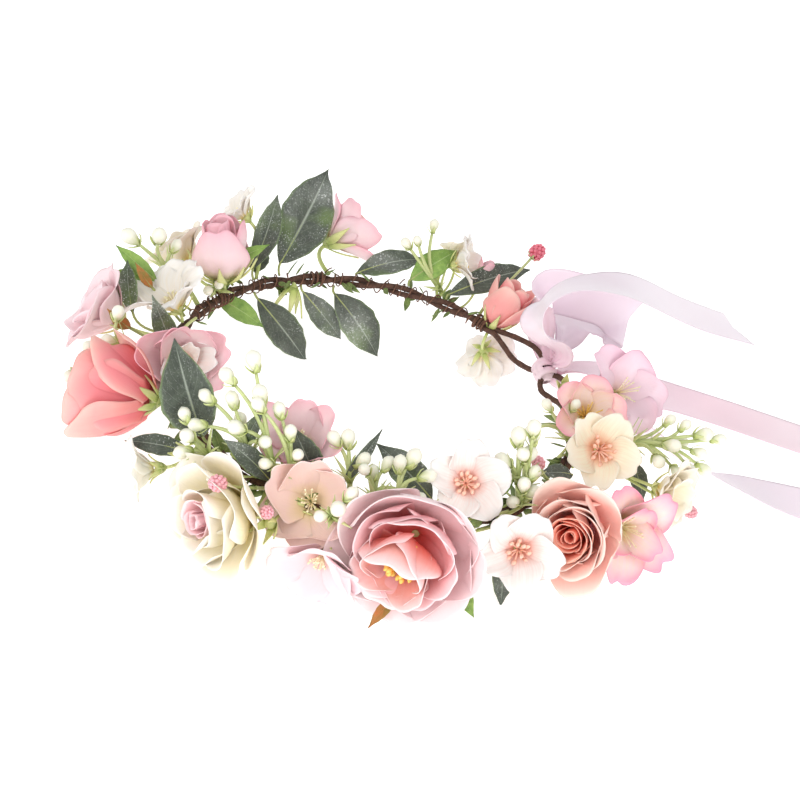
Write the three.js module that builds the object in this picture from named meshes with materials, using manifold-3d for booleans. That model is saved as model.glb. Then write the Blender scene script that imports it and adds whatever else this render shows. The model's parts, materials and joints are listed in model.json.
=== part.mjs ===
// Flower crown for a head: two paper-wrapped wires twisted into a hoop, artificial flower heads, leaves,
// bud sprays and berries on wire stems bound to it, and a satin ribbon that ties its two end eyes together.
// Millimetres, +Z up. +X is the ribbon closure at the back of the head, -X is the brow.
// Angles are degrees around the hoop from +X towards +Y. A place is [angle, radius, height over the hoop].
import * as THREE from "three";
import Module from "manifold-3d";
import { mergeVertices } from "three/addons/utils/BufferGeometryUtils.js";

const wasm = await Module();
wasm.setup();

// ---- driving dimensions ----
const HOOP_RADIUS = 90;          // centreline of the twisted wires
const REST_DROP = 31;            // hoop centreline above the surface that the crown rests on
const GAP = 0.3;                 // clearance between touching pieces
const JOINT_GAP = 0.8;           // clearance around a stem that bends at its binding
const SWEEP_GAP = 1;             // clearance around the space that a bending piece sweeps
const SWEEP_STEPS = 5;           // positions tried on each side of rest

const STRAND_RADIUS = 1.3;
const STRAND_OFFSET = STRAND_RADIUS + GAP / 2;
const TWIST_TURNS = 11;
const TWIST_STEPS = 8;           // path points in each turn
const EYE_LEAN = 20;             // degrees that the outer side of each end eye stands up
const FIRST_EYE = { tip: 37, root: 57 };
const LAST_EYE = { tip: 393, root: 380 };
const EYE_OUTLINE = [            // [share of the way from tip to root, offset from the centreline]
  [0, GAP / 2],
  [0, 2.4],
  [0.14, 4.8],
  [0.42, 6.2],
  [0.75, 3.8],
];

const BINDING_RADIUS = 0.45;
const BINDING_COIL = STRAND_OFFSET + STRAND_RADIUS + GAP + BINDING_RADIUS;
const BINDING_STEPS = 7;         // path points in each turn

const STEM_RADIUS = 0.8;
const STEM_START = STRAND_OFFSET + STRAND_RADIUS + GAP;
const BRANCH_RADIUS = 0.7;

const RIBBON_WIDTH = 25;
const RIBBON_THICKNESS = 0.8;
const GATHER = 0.3;              // share of its width that a ribbon keeps at the knot
const GATHER_SPREAD = 3.5;       // how fast it widens, in widths over its whole length
const KNOT_SIZE = [6, 5, 6.5];   // half-sizes outwards, along the hoop and up

const LEAF_THICKNESS = 1;
const LEAF_END = 0.9;            // half-width where a blade meets its stem and at its tip

// ---- colours and finishes ----
const finish = (color, roughness = 0.7) => new THREE.MeshStandardMaterial({ color, roughness, metalness: 0 });
const BARK = finish(0x4b3228, 0.85);
const BINDING = finish(0x6a4a38, 0.7);
const SATIN = finish(0xf2dfe8, 0.35);
const CORAL = finish(0xf29a94);
const PINK = finish(0xf3b9bf);
const BLUSH = finish(0xf6d3d3);
const WHITE = finish(0xf7f2ea);
const CREAM = finish(0xf6ead0);
const PEACH = finish(0xf4b79c);
const LILAC = finish(0xeed3e0);
const STAMEN = finish(0xe8a43c);
const FROSTED = finish(0x3f4a44, 0.8);
const FRESH = finish(0x8fb25c, 0.7);
const WAX = finish(0xe9ecd6, 0.4);
const BERRY = finish(0xd9566a, 0.45);

// ---- small helpers ----
const radians = THREE.MathUtils.degToRad;

function place([angle, radius, height]) {
  const turn = radians(angle);
  return new THREE.Vector3(radius * Math.cos(turn), radius * Math.sin(turn), height);
}

function direction(azimuth, lift) {
  return place([azimuth, Math.cos(radians(lift)), Math.sin(radians(lift))]);
}

function toSolid(geometry) {
  const bare = geometry.clone();
  bare.deleteAttribute("normal");
  bare.deleteAttribute("uv");
  const merged = mergeVertices(bare, 1e-4);
  const corners = merged.index.array;
  const triangles = [];
  for (let i = 0; i < corners.length; i += 3) {
    const [a, b, c] = corners.slice(i, i + 3);
    if (a !== b && b !== c && c !== a) triangles.push(a, b, c);
  }
  return new wasm.Manifold(new wasm.Mesh({
    numProp: 3,
    vertProperties: merged.attributes.position.array,
    triVerts: new Uint32Array(triangles),
  }));
}

function toGeometry(solid) {
  const mesh = solid.getMesh();
  const geometry = new THREE.BufferGeometry();
  geometry.setAttribute("position", new THREE.BufferAttribute(mesh.vertProperties, 3));
  geometry.setIndex(new THREE.BufferAttribute(mesh.triVerts, 1));
  geometry.computeVertexNormals();
  return geometry;
}

function largestBody(solid) {
  const bodies = solid.decompose();
  return bodies.reduce((best, body) => (body.volume() > best.volume() ? body : best));
}

function ringSection(radius, sides) {
  const corners = [];
  for (let side = 0; side < sides; side += 1) {
    const turn = (2 * Math.PI * side) / sides;
    corners.push(new THREE.Vector2(radius * Math.cos(turn), radius * Math.sin(turn)));
  }
  return new THREE.Shape(corners);
}

function tube(path, radius, steps, sides = 5) {
  const settings = { steps, extrudePath: path, bevelEnabled: false };
  return toSolid(new THREE.ExtrudeGeometry(ringSection(radius, sides), settings));
}

// A slab bent along a curve: shape(t, s) gives the centre point and the normal there, t from 0 to 1
// along the curve and s from -1 to 1 across it.
function bentSlab(alongSteps, acrossSteps, thickness, shape) {
  const slab = new THREE.BoxGeometry(1, 1, 1, alongSteps, acrossSteps, 1);
  const corners = slab.attributes.position;
  for (let i = 0; i < corners.count; i += 1) {
    const { centre, normal } = shape(corners.getX(i) + 0.5, 2 * corners.getY(i));
    const corner = centre.addScaledVector(normal, thickness * corners.getZ(i));
    corners.setXYZ(i, corner.x, corner.y, corner.z);
  }
  return toSolid(slab);
}

// Where a stem that leads to the given point starts, just outside the twisted wires.
function stemStart(point, clearance) {
  const angle = THREE.MathUtils.radToDeg(Math.atan2(point.y, point.x));
  const centre = place([angle, HOOP_RADIUS, 0]);
  const away = point.clone().sub(centre).normalize();
  return centre.addScaledVector(away, STEM_START + clearance);
}

// The wire stem from the hoop to the given point, which it reaches along the given direction.
function stem(point, along, clearance, grow) {
  const start = stemStart(point, clearance);
  const reach = start.distanceTo(point);
  const middle = point.clone().addScaledVector(along, -0.45 * reach);
  const path = new THREE.QuadraticBezierCurve3(start, middle, point.clone().addScaledVector(along, 1));
  return tube(path, STEM_RADIUS + grow, 3);
}

function needsStem(point) {
  const ring = Math.hypot(point.x, point.y) - HOOP_RADIUS;
  return Math.hypot(ring, point.z) > STEM_START + 1;
}

// ---- the hoop: two strands that part into an eye at each end ----
function strandPoint(angle, side, offset, phase) {
  return place([
    angle,
    HOOP_RADIUS + side * offset * Math.cos(radians(phase)),
    side * offset * Math.sin(radians(phase)),
  ]);
}

function eyePoints(eye, side) {
  return EYE_OUTLINE.map(([share, offset]) =>
    strandPoint(THREE.MathUtils.lerp(eye.tip, eye.root, share), side, offset, EYE_LEAN));
}

function strand(side, grow) {
  const points = eyePoints(FIRST_EYE, side);
  const steps = TWIST_TURNS * TWIST_STEPS;
  for (let step = 0; step <= steps; step += 1) {
    const angle = THREE.MathUtils.lerp(FIRST_EYE.root, LAST_EYE.root, step / steps);
    points.push(strandPoint(angle, side, STRAND_OFFSET, EYE_LEAN + (360 * step) / TWIST_STEPS));
  }
  points.push(...eyePoints(LAST_EYE, side).reverse());
  const pathSteps = steps + 4 * EYE_OUTLINE.length;
  return tube(new THREE.CatmullRomCurve3(points), STRAND_RADIUS + grow, pathSteps);
}

// ---- the thin wire coiled around the hoop to bind the stems on ----
function binding(middle, turns, pitch, grow) {
  const points = [];
  const steps = turns * BINDING_STEPS;
  for (let step = 0; step <= steps; step += 1) {
    const angle = middle + pitch * (step / BINDING_STEPS - turns / 2);
    points.push(strandPoint(angle, 1, BINDING_COIL, (360 * step) / BINDING_STEPS));
  }
  return tube(new THREE.CatmullRomCurve3(points), BINDING_RADIUS + grow, steps, 4);
}

// ---- ribbon ----
function knot(grow) {
  const ball = new THREE.SphereGeometry(1, 10, 7);
  ball.scale(...KNOT_SIZE.map((half) => half + grow));
  const middle = (FIRST_EYE.tip + LAST_EYE.tip - 360) / 2;
  ball.rotateZ(radians(middle));
  ball.translate(...place([middle, HOOP_RADIUS, 1]).toArray());
  return toSolid(ball);
}

// A flat ribbon along hand-laid rows of [place, direction across it as azimuth and lift]. It is gathered
// to a third of its width where it leaves the knot, and a loop is gathered at both ends.
function ribbon({ rows, steps, loop = false }, grow) {
  const path = new THREE.CatmullRomCurve3(rows.map(([at]) => place(at)));
  const widths = new THREE.CatmullRomCurve3(rows.map(([, across]) => direction(...across)));
  return bentSlab(steps, 1, RIBBON_THICKNESS + 2 * grow, (t, s) => {
    const tangent = path.getTangent(t);
    const side = widths.getPoint(t);
    side.addScaledVector(tangent, -side.dot(tangent)).normalize();
    const fromKnot = loop ? Math.min(t, 1 - t) : t;
    const half = (RIBBON_WIDTH / 2) * Math.min(1, GATHER + GATHER_SPREAD * fromKnot) + grow;
    const centre = path.getPoint(t).addScaledVector(side, s * half);
    return { centre, normal: tangent.cross(side) };
  });
}

// ---- flower heads ----
// A closed cup with one lobe for each petal and a dished mouth, on a short stem.
// at is the middle of its mouth, face is where the mouth looks: [azimuth, lift].
function bloom({ at, face, radius, depth, petals = 5, dish = 0.35, lobe = 0.14, clearance = 0 }, grow) {
  const outline = [
    new THREE.Vector2(0, -depth - grow),
    new THREE.Vector2(0.3 * radius + grow, -0.88 * depth - grow),
    new THREE.Vector2(0.82 * radius + grow, -0.42 * depth),
    new THREE.Vector2(radius + grow, 0.08 * depth + grow),
    new THREE.Vector2(0.42 * radius, (0.05 - dish) * depth + grow),
    new THREE.Vector2(0, -dish * depth + grow),
  ];
  const cup = new THREE.LatheGeometry(outline, 3 * petals);
  const corners = cup.attributes.position;
  for (let i = 0; i < corners.count; i += 1) {
    const [x, y, z] = [corners.getX(i), corners.getY(i), corners.getZ(i)];
    const share = Math.min(1, Math.hypot(x, z) / radius);
    const petalTurn = petals * Math.atan2(z, x);
    const scale = 1 - lobe * share * (0.5 - 0.5 * Math.cos(petalTurn));
    corners.setXYZ(i, x * scale, y, z * scale);
  }
  const axis = direction(...face);
  const middle = place(at);
  cup.applyQuaternion(new THREE.Quaternion().setFromUnitVectors(new THREE.Vector3(0, 1, 0), axis));
  cup.translate(middle.x, middle.y, middle.z);
  const head = toSolid(cup);
  const base = middle.clone().addScaledVector(axis, -0.9 * depth);
  if (!needsStem(base)) return head;
  return head.add(stem(base, axis, clearance, grow));
}

// ---- leaves ----
// A blade from base to tip that bows along its face and is folded a little at its midrib.
function leaf({ base, tip, width, face, bow = 0.12, fold = 0.18, clearance = 0 }, grow) {
  const start = place(base);
  const end = place(tip);
  const chord = end.clone().sub(start);
  const front = direction(...face);
  const side = front.clone().cross(chord).normalize();
  front.copy(chord).cross(side).normalize();
  const crest = start.clone().lerp(end, 0.5).addScaledVector(front, 2 * bow * chord.length());
  const path = new THREE.QuadraticBezierCurve3(start, crest, end);
  const blade = bentSlab(6, 2, LEAF_THICKNESS + 2 * grow, (t, s) => {
    const half = Math.max(LEAF_END, (width / 2) * Math.sin(Math.PI * Math.pow(t, 0.85))) + grow;
    const centre = path.getPoint(t).addScaledVector(side, s * half);
    centre.addScaledVector(front, fold * half * Math.abs(s));
    return { centre, normal: front };
  });
  if (!needsStem(start)) return blade;
  return blade.add(stem(start, path.getTangent(0), clearance, grow));
}

// ---- sprays of buds, and berries ----
// One stem that forks into a twig for each bud; a bud is [place, radius].
function spray({ fork, buds, clearance = 0 }, grow) {
  const joint = place(fork);
  const rise = place(buds[0][0]).sub(joint).normalize();
  let solid = stem(joint, rise, clearance, grow);
  for (const [at, radius] of buds) {
    const end = place(at);
    const reach = end.distanceTo(joint);
    const bend = joint.clone().addScaledVector(rise, 0.5 * reach);
    solid = solid.add(tube(new THREE.QuadraticBezierCurve3(joint, bend, end), BRANCH_RADIUS + grow, 3));
    const bud = new THREE.SphereGeometry(radius + grow, 6, 4);
    bud.scale(1, 1, 1.25);
    bud.translate(end.x, end.y, end.z);
    solid = solid.add(toSolid(bud));
  }
  return solid;
}

function berry({ at, from, radius, clearance = 0 }, grow) {
  const middle = place(at);
  const foot = place(from);
  const axis = middle.clone().sub(foot).normalize();
  const ball = new THREE.IcosahedronGeometry(radius + grow, 1);
  ball.translate(middle.x, middle.y, middle.z);
  const twig = tube(new THREE.LineCurve3(foot, middle), BRANCH_RADIUS + grow, 2);
  return toSolid(ball).add(twig).add(stem(foot, axis, clearance, grow));
}

// ---- assembly: each piece is cut back by the clearance around the pieces laid before it ----
const crown = new THREE.Group();
const laid = [];
const surface = new THREE.BoxGeometry(900, 900, 100);
surface.translate(0, 0, -REST_DROP - 50);
const restSurface = toSolid(surface);

function apart(a, b) {
  return a.min.some((low, axis) => low > b.max[axis] || b.min[axis] > a.max[axis]);
}

// keepout(grow) is the space that later pieces leave free: the piece itself, or all that it sweeps.
function addPiece(name, material, shape, keepout = shape) {
  let solid = shape(0);
  for (const other of laid) {
    if (!apart(solid.boundingBox(), other.box)) solid = solid.subtract(other.space);
  }
  solid = largestBody(solid.subtract(restSurface));
  const space = keepout(GAP);
  laid.push({ space, box: space.boundingBox() });
  const mesh = new THREE.Mesh(toGeometry(solid), material);
  mesh.name = name;
  crown.add(mesh);
  return mesh;
}

// All the space that a stem-mounted piece passes through while it bends about its binding.
function swept(shape, pivot, axis, range) {
  return (grow) => {
    const piece = shape(grow + SWEEP_GAP);
    let space = piece;
    for (let step = -SWEEP_STEPS; step <= SWEEP_STEPS; step += 1) {
      const turn = new THREE.Matrix4().makeRotationAxis(axis, radians((step * range) / SWEEP_STEPS));
      const there = new THREE.Matrix4().makeTranslation(pivot.x, pivot.y, pivot.z);
      const back = new THREE.Matrix4().makeTranslation(-pivot.x, -pivot.y, -pivot.z);
      space = space.add(piece.transform(there.multiply(turn).multiply(back).toArray()));
    }
    return space;
  };
}

addPiece("wire_strand_a", BARK, (grow) => strand(1, grow));
addPiece("wire_strand_b", BARK, (grow) => strand(-1, grow));

// ---- the three picks whose stems bend ----
const TALL_LEAF = {
  base: [129, 92, 9], tip: [112, 130, 37], width: 26, face: [-75, 20], bow: 0.05, clearance: JOINT_GAP,
};
const BACK_BERRY = { from: [65, 104, 8], at: [62, 125, 28], radius: 4.2, clearance: JOINT_GAP };
const LEFT_BUDS = {
  fork: [161, 108, 12],
  buds: [[[166, 127, 27], 3.6], [[165, 114, 32], 3.4], [[158, 108, 24], 2.6]],
  clearance: JOINT_GAP,
};
const BENDS = [
  ["frosted_leaf_tall", FROSTED, (grow) => leaf(TALL_LEAF, grow), place(TALL_LEAF.base), 15],
  ["berry_back", BERRY, (grow) => berry(BACK_BERRY, grow), place(BACK_BERRY.from), 20],
  ["bud_spray_left_back", WAX, (grow) => spray(LEFT_BUDS, grow), place(LEFT_BUDS.fork), 15],
];
for (const [name, material, shape, lead, range] of BENDS) {
  const pivot = stemStart(lead, JOINT_GAP);
  const axis = new THREE.Vector3(-pivot.y, pivot.x, 0).normalize();
  addPiece(name, material, shape, swept(shape, pivot, axis, range));
}

// ---- ribbon closure ----
addPiece("ribbon_knot", SATIN, knot);
const RIBBONS = {
  ribbon_bow_loop: {
    rows: [
      [[44, 99, 5], [0, 70]],
      [[50, 103, 14], [0, 80]],
      [[51, 108, 24], [0, 90]],
      [[44, 122, 25], [0, 90]],
      [[41, 132, 23], [90, 86]],
      [[39, 139, 17], [90, 60]],
      [[43, 140, 9], [90, 12]],
      [[46, 132, 8], [90, 0]],
      [[47, 121, 7], [90, 0]],
      [[43, 107, 5], [90, 30]],
    ],
    steps: 24,
    loop: true,
  },
  ribbon_tail_upper: {
    rows: [
      [[34, 93, 13], [112, -40]],
      [[33, 77, 28], [108, -38]],
      [[34, 76, 40], [98, -30]],
      [[35, 88, 47], [94, -22]],
      [[36, 108, 46], [95, -16]],
      [[38, 138, 36], [100, -6]],
      [[41, 187, 10], [110, 0]],
      [[43, 238, -14], [118, 0]],
    ],
    steps: 20,
  },
  ribbon_tail_long: {
    rows: [
      [[36, 99, -3], [100, -40]],
      [[36, 116, -4], [100, -20]],
      [[36, 142, -14], [100, 0]],
      [[36, 170, -25], [95, 0]],
      [[31, 200, -29], [92, 0]],
      [[25, 232, -29], [90, 0]],
      [[22, 259, -29], [88, 0]],
    ],
    steps: 16,
  },
  ribbon_tail_low: {
    rows: [
      [[33, 99, -6], [100, -40]],
      [[28, 119, -12], [90, -50]],
      [[22, 141, -18], [90, -44]],
      [[14, 163, -22], [90, -33]],
      [[13, 189, -27], [90, -12]],
      [[12, 212, -29], [90, 0]],
      [[11, 240, -29], [90, 0]],
    ],
    steps: 16,
  },
};
for (const [name, strip] of Object.entries(RIBBONS)) {
  addPiece(name, SATIN, (grow) => ribbon(strip, grow));
}

// ---- binding wires: name, middle angle, turns, degrees per turn ----
const BINDINGS = [
  ["binding_wire_right", 63, 3, 1.6],
  ["binding_wire_back", 117, 3, 1.6],
  ["binding_wire_left", 152, 3, 1.6],
];
for (const [name, middle, turns, pitch] of BINDINGS) {
  addPiece(name, BINDING, (grow) => binding(middle, turns, pitch, grow));
}

// ---- flower heads ----
const BLOOMS = [
  ["peony_stamens", STAMEN, { at: [-77, 118, 1], face: [-96, 12], radius: 8, depth: 9, petals: 4, dish: 0 }],
  ["peony_inner_petals", PINK,
    { at: [-76, 117, 4], face: [-96, 12], radius: 21, depth: 15, petals: 5, dish: 0.5 }],
  ["peony", BLUSH, { at: [-75, 112, 6], face: [-96, 14], radius: 32, depth: 20, petals: 6, dish: 0.5 }],
  ["peach_rose_core", CORAL, { at: [-39, 120, 6], face: [-108, 18], radius: 11, depth: 14, petals: 4, dish: 0.1 }],
  ["peach_rose", PEACH, { at: [-37, 117, 5], face: [-108, 18], radius: 25, depth: 20, petals: 5 }],
  ["coral_rose", CORAL, { at: [-159, 120, -2], face: [172, -2], radius: 24, depth: 26, petals: 5, lobe: 0.1 }],
  ["cream_rose", CREAM, { at: [-114, 119, -3], face: [-135, 5], radius: 25, depth: 18 }],
  ["pink_blossom_inner", PINK, { at: [-158, 87, 14], face: [-70, 38], radius: 23, depth: 15 }],
  ["pink_tipped_blossom", PINK, { at: [-24, 132, 1], face: [-62, 25], radius: 22, depth: 16 }],
  ["blush_blossom_left", BLUSH, { at: [179, 130, 6], face: [185, 25], radius: 21, depth: 16 }],
  ["white_blossom_left", WHITE, { at: [174, 101, 19], face: [185, 55], radius: 20, depth: 13 }],
  ["pink_rosebud_left", PINK, { at: [150, 98, 26], face: [150, 72], radius: 15, depth: 20, dish: 0.15 }],
  ["pink_blossom_back", BLUSH, { at: [105, 114, 16], face: [40, 30], radius: 20, depth: 16 }],
  ["cream_blossom_back", CREAM, { at: [150, 124, 10], face: [155, 35], radius: 17, depth: 12 }],
  ["white_blossom_back", WHITE, { at: [140, 110, 33], face: [180, 35], radius: 13, depth: 8 }],
  ["pink_blossom_front_left", PINK, { at: [-108, 79, 25], face: [-100, 65], radius: 16, depth: 17, dish: 0.2 }],
  ["peach_blossom_front", PEACH, { at: [-98, 99, 9], face: [-95, 40], radius: 20, depth: 14 }],
  ["blush_blossom_low", BLUSH, { at: [-92, 114, -14], face: [-95, -15], radius: 19, depth: 13 }],
  ["white_blossom_inner", WHITE, { at: [-56, 84, 17], face: [-80, 42], radius: 17, depth: 10 }],
  ["white_blossom_front", WHITE, { at: [-49, 113, 1], face: [-85, 28], radius: 17, depth: 10 }],
  ["cream_star_blossom", CREAM, { at: [-10, 103, 14], face: [-80, 38], radius: 17, depth: 9 }],
  ["pink_blossom_right", PINK, { at: [3, 94, 16], face: [-85, 52], radius: 18, depth: 11 }],
  ["lilac_blossom_right", LILAC, { at: [16, 115, 16], face: [-50, 48], radius: 21, depth: 13 }],
  ["cream_blossom_right", CREAM, { at: [-7, 140, 0], face: [-35, 15], radius: 16, depth: 11 }],
  ["pink_rosebud_right", PINK, { at: [59, 101, 14], face: [50, 60], radius: 11, depth: 18, dish: 0.1 }],
  ["white_blossom_right_back", WHITE, { at: [74, 107, 18], face: [0, 30], radius: 14, depth: 9 }],
  ["white_blossom_under", WHITE, { at: [60, 98, -22], face: [60, -50], radius: 15, depth: 10 }],
  ["white_daisy_left", WHITE, { at: [-137, 121, -12], face: [200, -10], radius: 13, depth: 13, petals: 6 }],
];
for (const [name, material, shape] of BLOOMS) {
  addPiece(name, material, (grow) => bloom(shape, grow));
}

// ---- leaves ----
const LEAVES = [
  ["frosted_leaf_inner", FROSTED, { base: [-131, 96, 7], tip: [-144, 103, 42], width: 22, face: [-90, 30] }],
  ["leaf_back_left", FROSTED, { base: [138, 93, 8], tip: [127, 112, 34], width: 12, face: [-80, 10] }],
  ["leaf_hanging_left", FROSTED, { base: [139, 84, -3], tip: [121, 68, -32], width: 16, face: [-110, 50] }],
  ["leaf_hanging_middle", FROSTED, { base: [122, 84, -3], tip: [106, 80, -27], width: 12, face: [-90, 40] }],
  ["leaf_hanging_right", FROSTED, { base: [111, 84, -4], tip: [92, 76, -31], width: 18, face: [-90, 50] }],
  ["leaf_back_flat", FROSTED, { base: [104, 93, 3], tip: [86, 109, 9], width: 13, face: [-90, 60] }],
  ["leaf_back_bright", FRESH, { base: [88, 94, 5], tip: [79, 112, 18], width: 13, face: [-90, 40] }],
  ["leaf_back_right", FROSTED, { base: [76, 94, 4], tip: [64, 134, 12], width: 13, face: [-90, 50] }],
  ["leaf_left_outer", FRESH, { base: [164, 108, 4], tip: [170, 130, 12], width: 10, face: [-110, 50] }],
  ["leaf_left_low", FROSTED, { base: [-134, 96, -5], tip: [-145, 116, -10], width: 9, face: [-90, 50] }],
  ["leaf_front_left", FROSTED, { base: [-101, 78, 6], tip: [-110, 82, 27], width: 12, face: [-80, 30] }],
  ["leaf_front_middle", FROSTED, { base: [-64, 78, 4], tip: [-84, 62, 18], width: 14, face: [-90, 50] }],
  ["leaf_front_low", FROSTED, { base: [-48, 99, -8], tip: [-48, 110, -32], width: 9, face: [-70, 20] }],
];
for (const [name, material, shape] of LEAVES) {
  addPiece(name, material, (grow) => leaf(shape, grow));
}

// ---- bud sprays ----
const SPRAYS = [
  ["bud_spray_inner_left", {
    fork: [-110, 93, 14],
    buds: [[[-118, 92, 41], 3.2], [[-123, 90, 52], 3.2], [[-126, 98, 44], 3], [[-118, 104, 30], 3]],
  }],
  ["bud_spray_front", { fork: [-90, 80, 9], buds: [[[-94, 74, 26], 3], [[-98, 76, 25], 2.8], [[-88, 76, 19], 3]] }],
  ["bud_spray_upright", {
    fork: [-38, 86, 10],
    buds: [[[-39, 80, 32], 3.4], [[-35, 84, 23], 3.2], [[-42, 79, 20], 3]],
  }],
  ["bud_spray_right", {
    fork: [2, 114, 6],
    buds: [[[5, 147, 15], 3.2], [[1, 133, 12], 3], [[3, 151, 0], 3], [[-3, 128, 8], 2.8]],
  }],
];
for (const [name, shape] of SPRAYS) {
  addPiece(name, WAX, (grow) => spray(shape, grow));
}

// ---- berries ----
const BERRIES = [
  ["berry_front_left", { from: [-110, 104, 8], at: [-114, 122, 16], radius: 3.8 }],
  ["berry_right", { from: [-4, 118, -4], at: [-3, 149, -13], radius: 3.2 }],
];
for (const [name, shape] of BERRIES) {
  addPiece(name, BERRY, (grow) => berry(shape, grow));
}

// ---- origin: middle of the crown's underside, ribbon left out ----
const extent = new THREE.Box3();
for (const mesh of crown.children) {
  if (!mesh.name.startsWith("ribbon")) extent.expandByObject(mesh);
}
const middle = extent.getCenter(new THREE.Vector3());
crown.position.set(-middle.x, -middle.y, -extent.min.z);

export default crown;
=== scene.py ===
import json
import math
import random

import bpy
from mathutils import Matrix, Quaternion, Vector, noise


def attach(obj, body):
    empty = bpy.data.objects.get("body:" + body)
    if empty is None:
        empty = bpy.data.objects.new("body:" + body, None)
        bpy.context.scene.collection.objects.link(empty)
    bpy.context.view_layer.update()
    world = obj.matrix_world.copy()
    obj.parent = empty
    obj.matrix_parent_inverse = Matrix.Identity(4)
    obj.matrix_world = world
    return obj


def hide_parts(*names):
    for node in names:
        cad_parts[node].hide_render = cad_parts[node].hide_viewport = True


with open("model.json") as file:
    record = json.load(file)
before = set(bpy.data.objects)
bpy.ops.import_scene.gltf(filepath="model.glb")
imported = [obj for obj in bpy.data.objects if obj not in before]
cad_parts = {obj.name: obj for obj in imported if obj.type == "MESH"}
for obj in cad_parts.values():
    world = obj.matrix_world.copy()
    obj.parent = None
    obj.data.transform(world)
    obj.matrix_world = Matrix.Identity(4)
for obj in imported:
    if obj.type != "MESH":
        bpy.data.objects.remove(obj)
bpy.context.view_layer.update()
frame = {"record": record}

MM = 0.001
HOOP_CENTRE = Vector(frame["record"]["mounts"][0]["pos_m"])
HOOP_RADIUS = 90
STRAND_RADIUS = 1.3
STRAND_OFFSET = 1.45
STEM_START = 3.05
RIBBON_WIDTH = 25
# Cloth that reaches the table bends flat on it, this far above.
TABLE_GAP = 0.3 * MM


# ---- places and directions ----
def around(angle, radius, height=0.0):
    turn = math.radians(angle)
    return Vector((radius * math.cos(turn), radius * math.sin(turn), height))


def place(at):
    return HOOP_CENTRE + around(*at) * MM


def direction(azimuth, lift):
    return around(azimuth, math.cos(math.radians(lift)), math.sin(math.radians(lift)))


def mix(a, b, t):
    return a + (b - a) * t


def catmull(points, steps):
    """Points on a smooth curve through the given ones, with the given number of steps between two."""
    ends = [points[0] * 2 - points[1], *points, points[-1] * 2 - points[-2]]
    line = []
    for i in range(1, len(ends) - 2):
        p, q, r, s = ends[i - 1:i + 3]
        for k in range(steps):
            t = k / steps
            line.append(0.5 * (2 * q + (r - p) * t + (2 * p - 5 * q + 4 * r - s) * t**2
                               + (3 * q - p - 3 * r + s) * t**3))
    line.append(points[-1].copy())
    return line


def bezier(a, b, c, steps):
    return [a * (1 - t)**2 + b * 2 * t * (1 - t) + c * t * t for t in (k / steps for k in range(steps + 1))]


# ---- camera: in front of the crown and above it, rolled to match the photo ----
CAMERA_DISTANCE = 850 * MM
CAMERA_LIFT = math.radians(34.3)
CAMERA_ROLL = math.radians(14.8)
CAMERA_LENS = 86.6
CAMERA_SENSOR = 36
CAMERA_SHIFT = (0.033, -0.009)


def make_camera():
    back = Vector((0, -math.cos(CAMERA_LIFT), math.sin(CAMERA_LIFT)))
    right = Vector((1, 0, 0))
    up = back.cross(right)
    side = right * math.cos(CAMERA_ROLL) + up * math.sin(CAMERA_ROLL)
    top = up * math.cos(CAMERA_ROLL) - right * math.sin(CAMERA_ROLL)
    data = bpy.data.cameras.new("camera")
    data.lens = CAMERA_LENS
    data.sensor_width = CAMERA_SENSOR
    data.shift_x, data.shift_y = CAMERA_SHIFT
    camera = bpy.data.objects.new("camera", data)
    rotation = Matrix((side, top, back)).transposed().to_4x4()
    camera.matrix_world = Matrix.Translation(HOOP_CENTRE + back * CAMERA_DISTANCE) @ rotation
    bpy.context.scene.collection.objects.link(camera)
    bpy.context.scene.camera = camera


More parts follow.
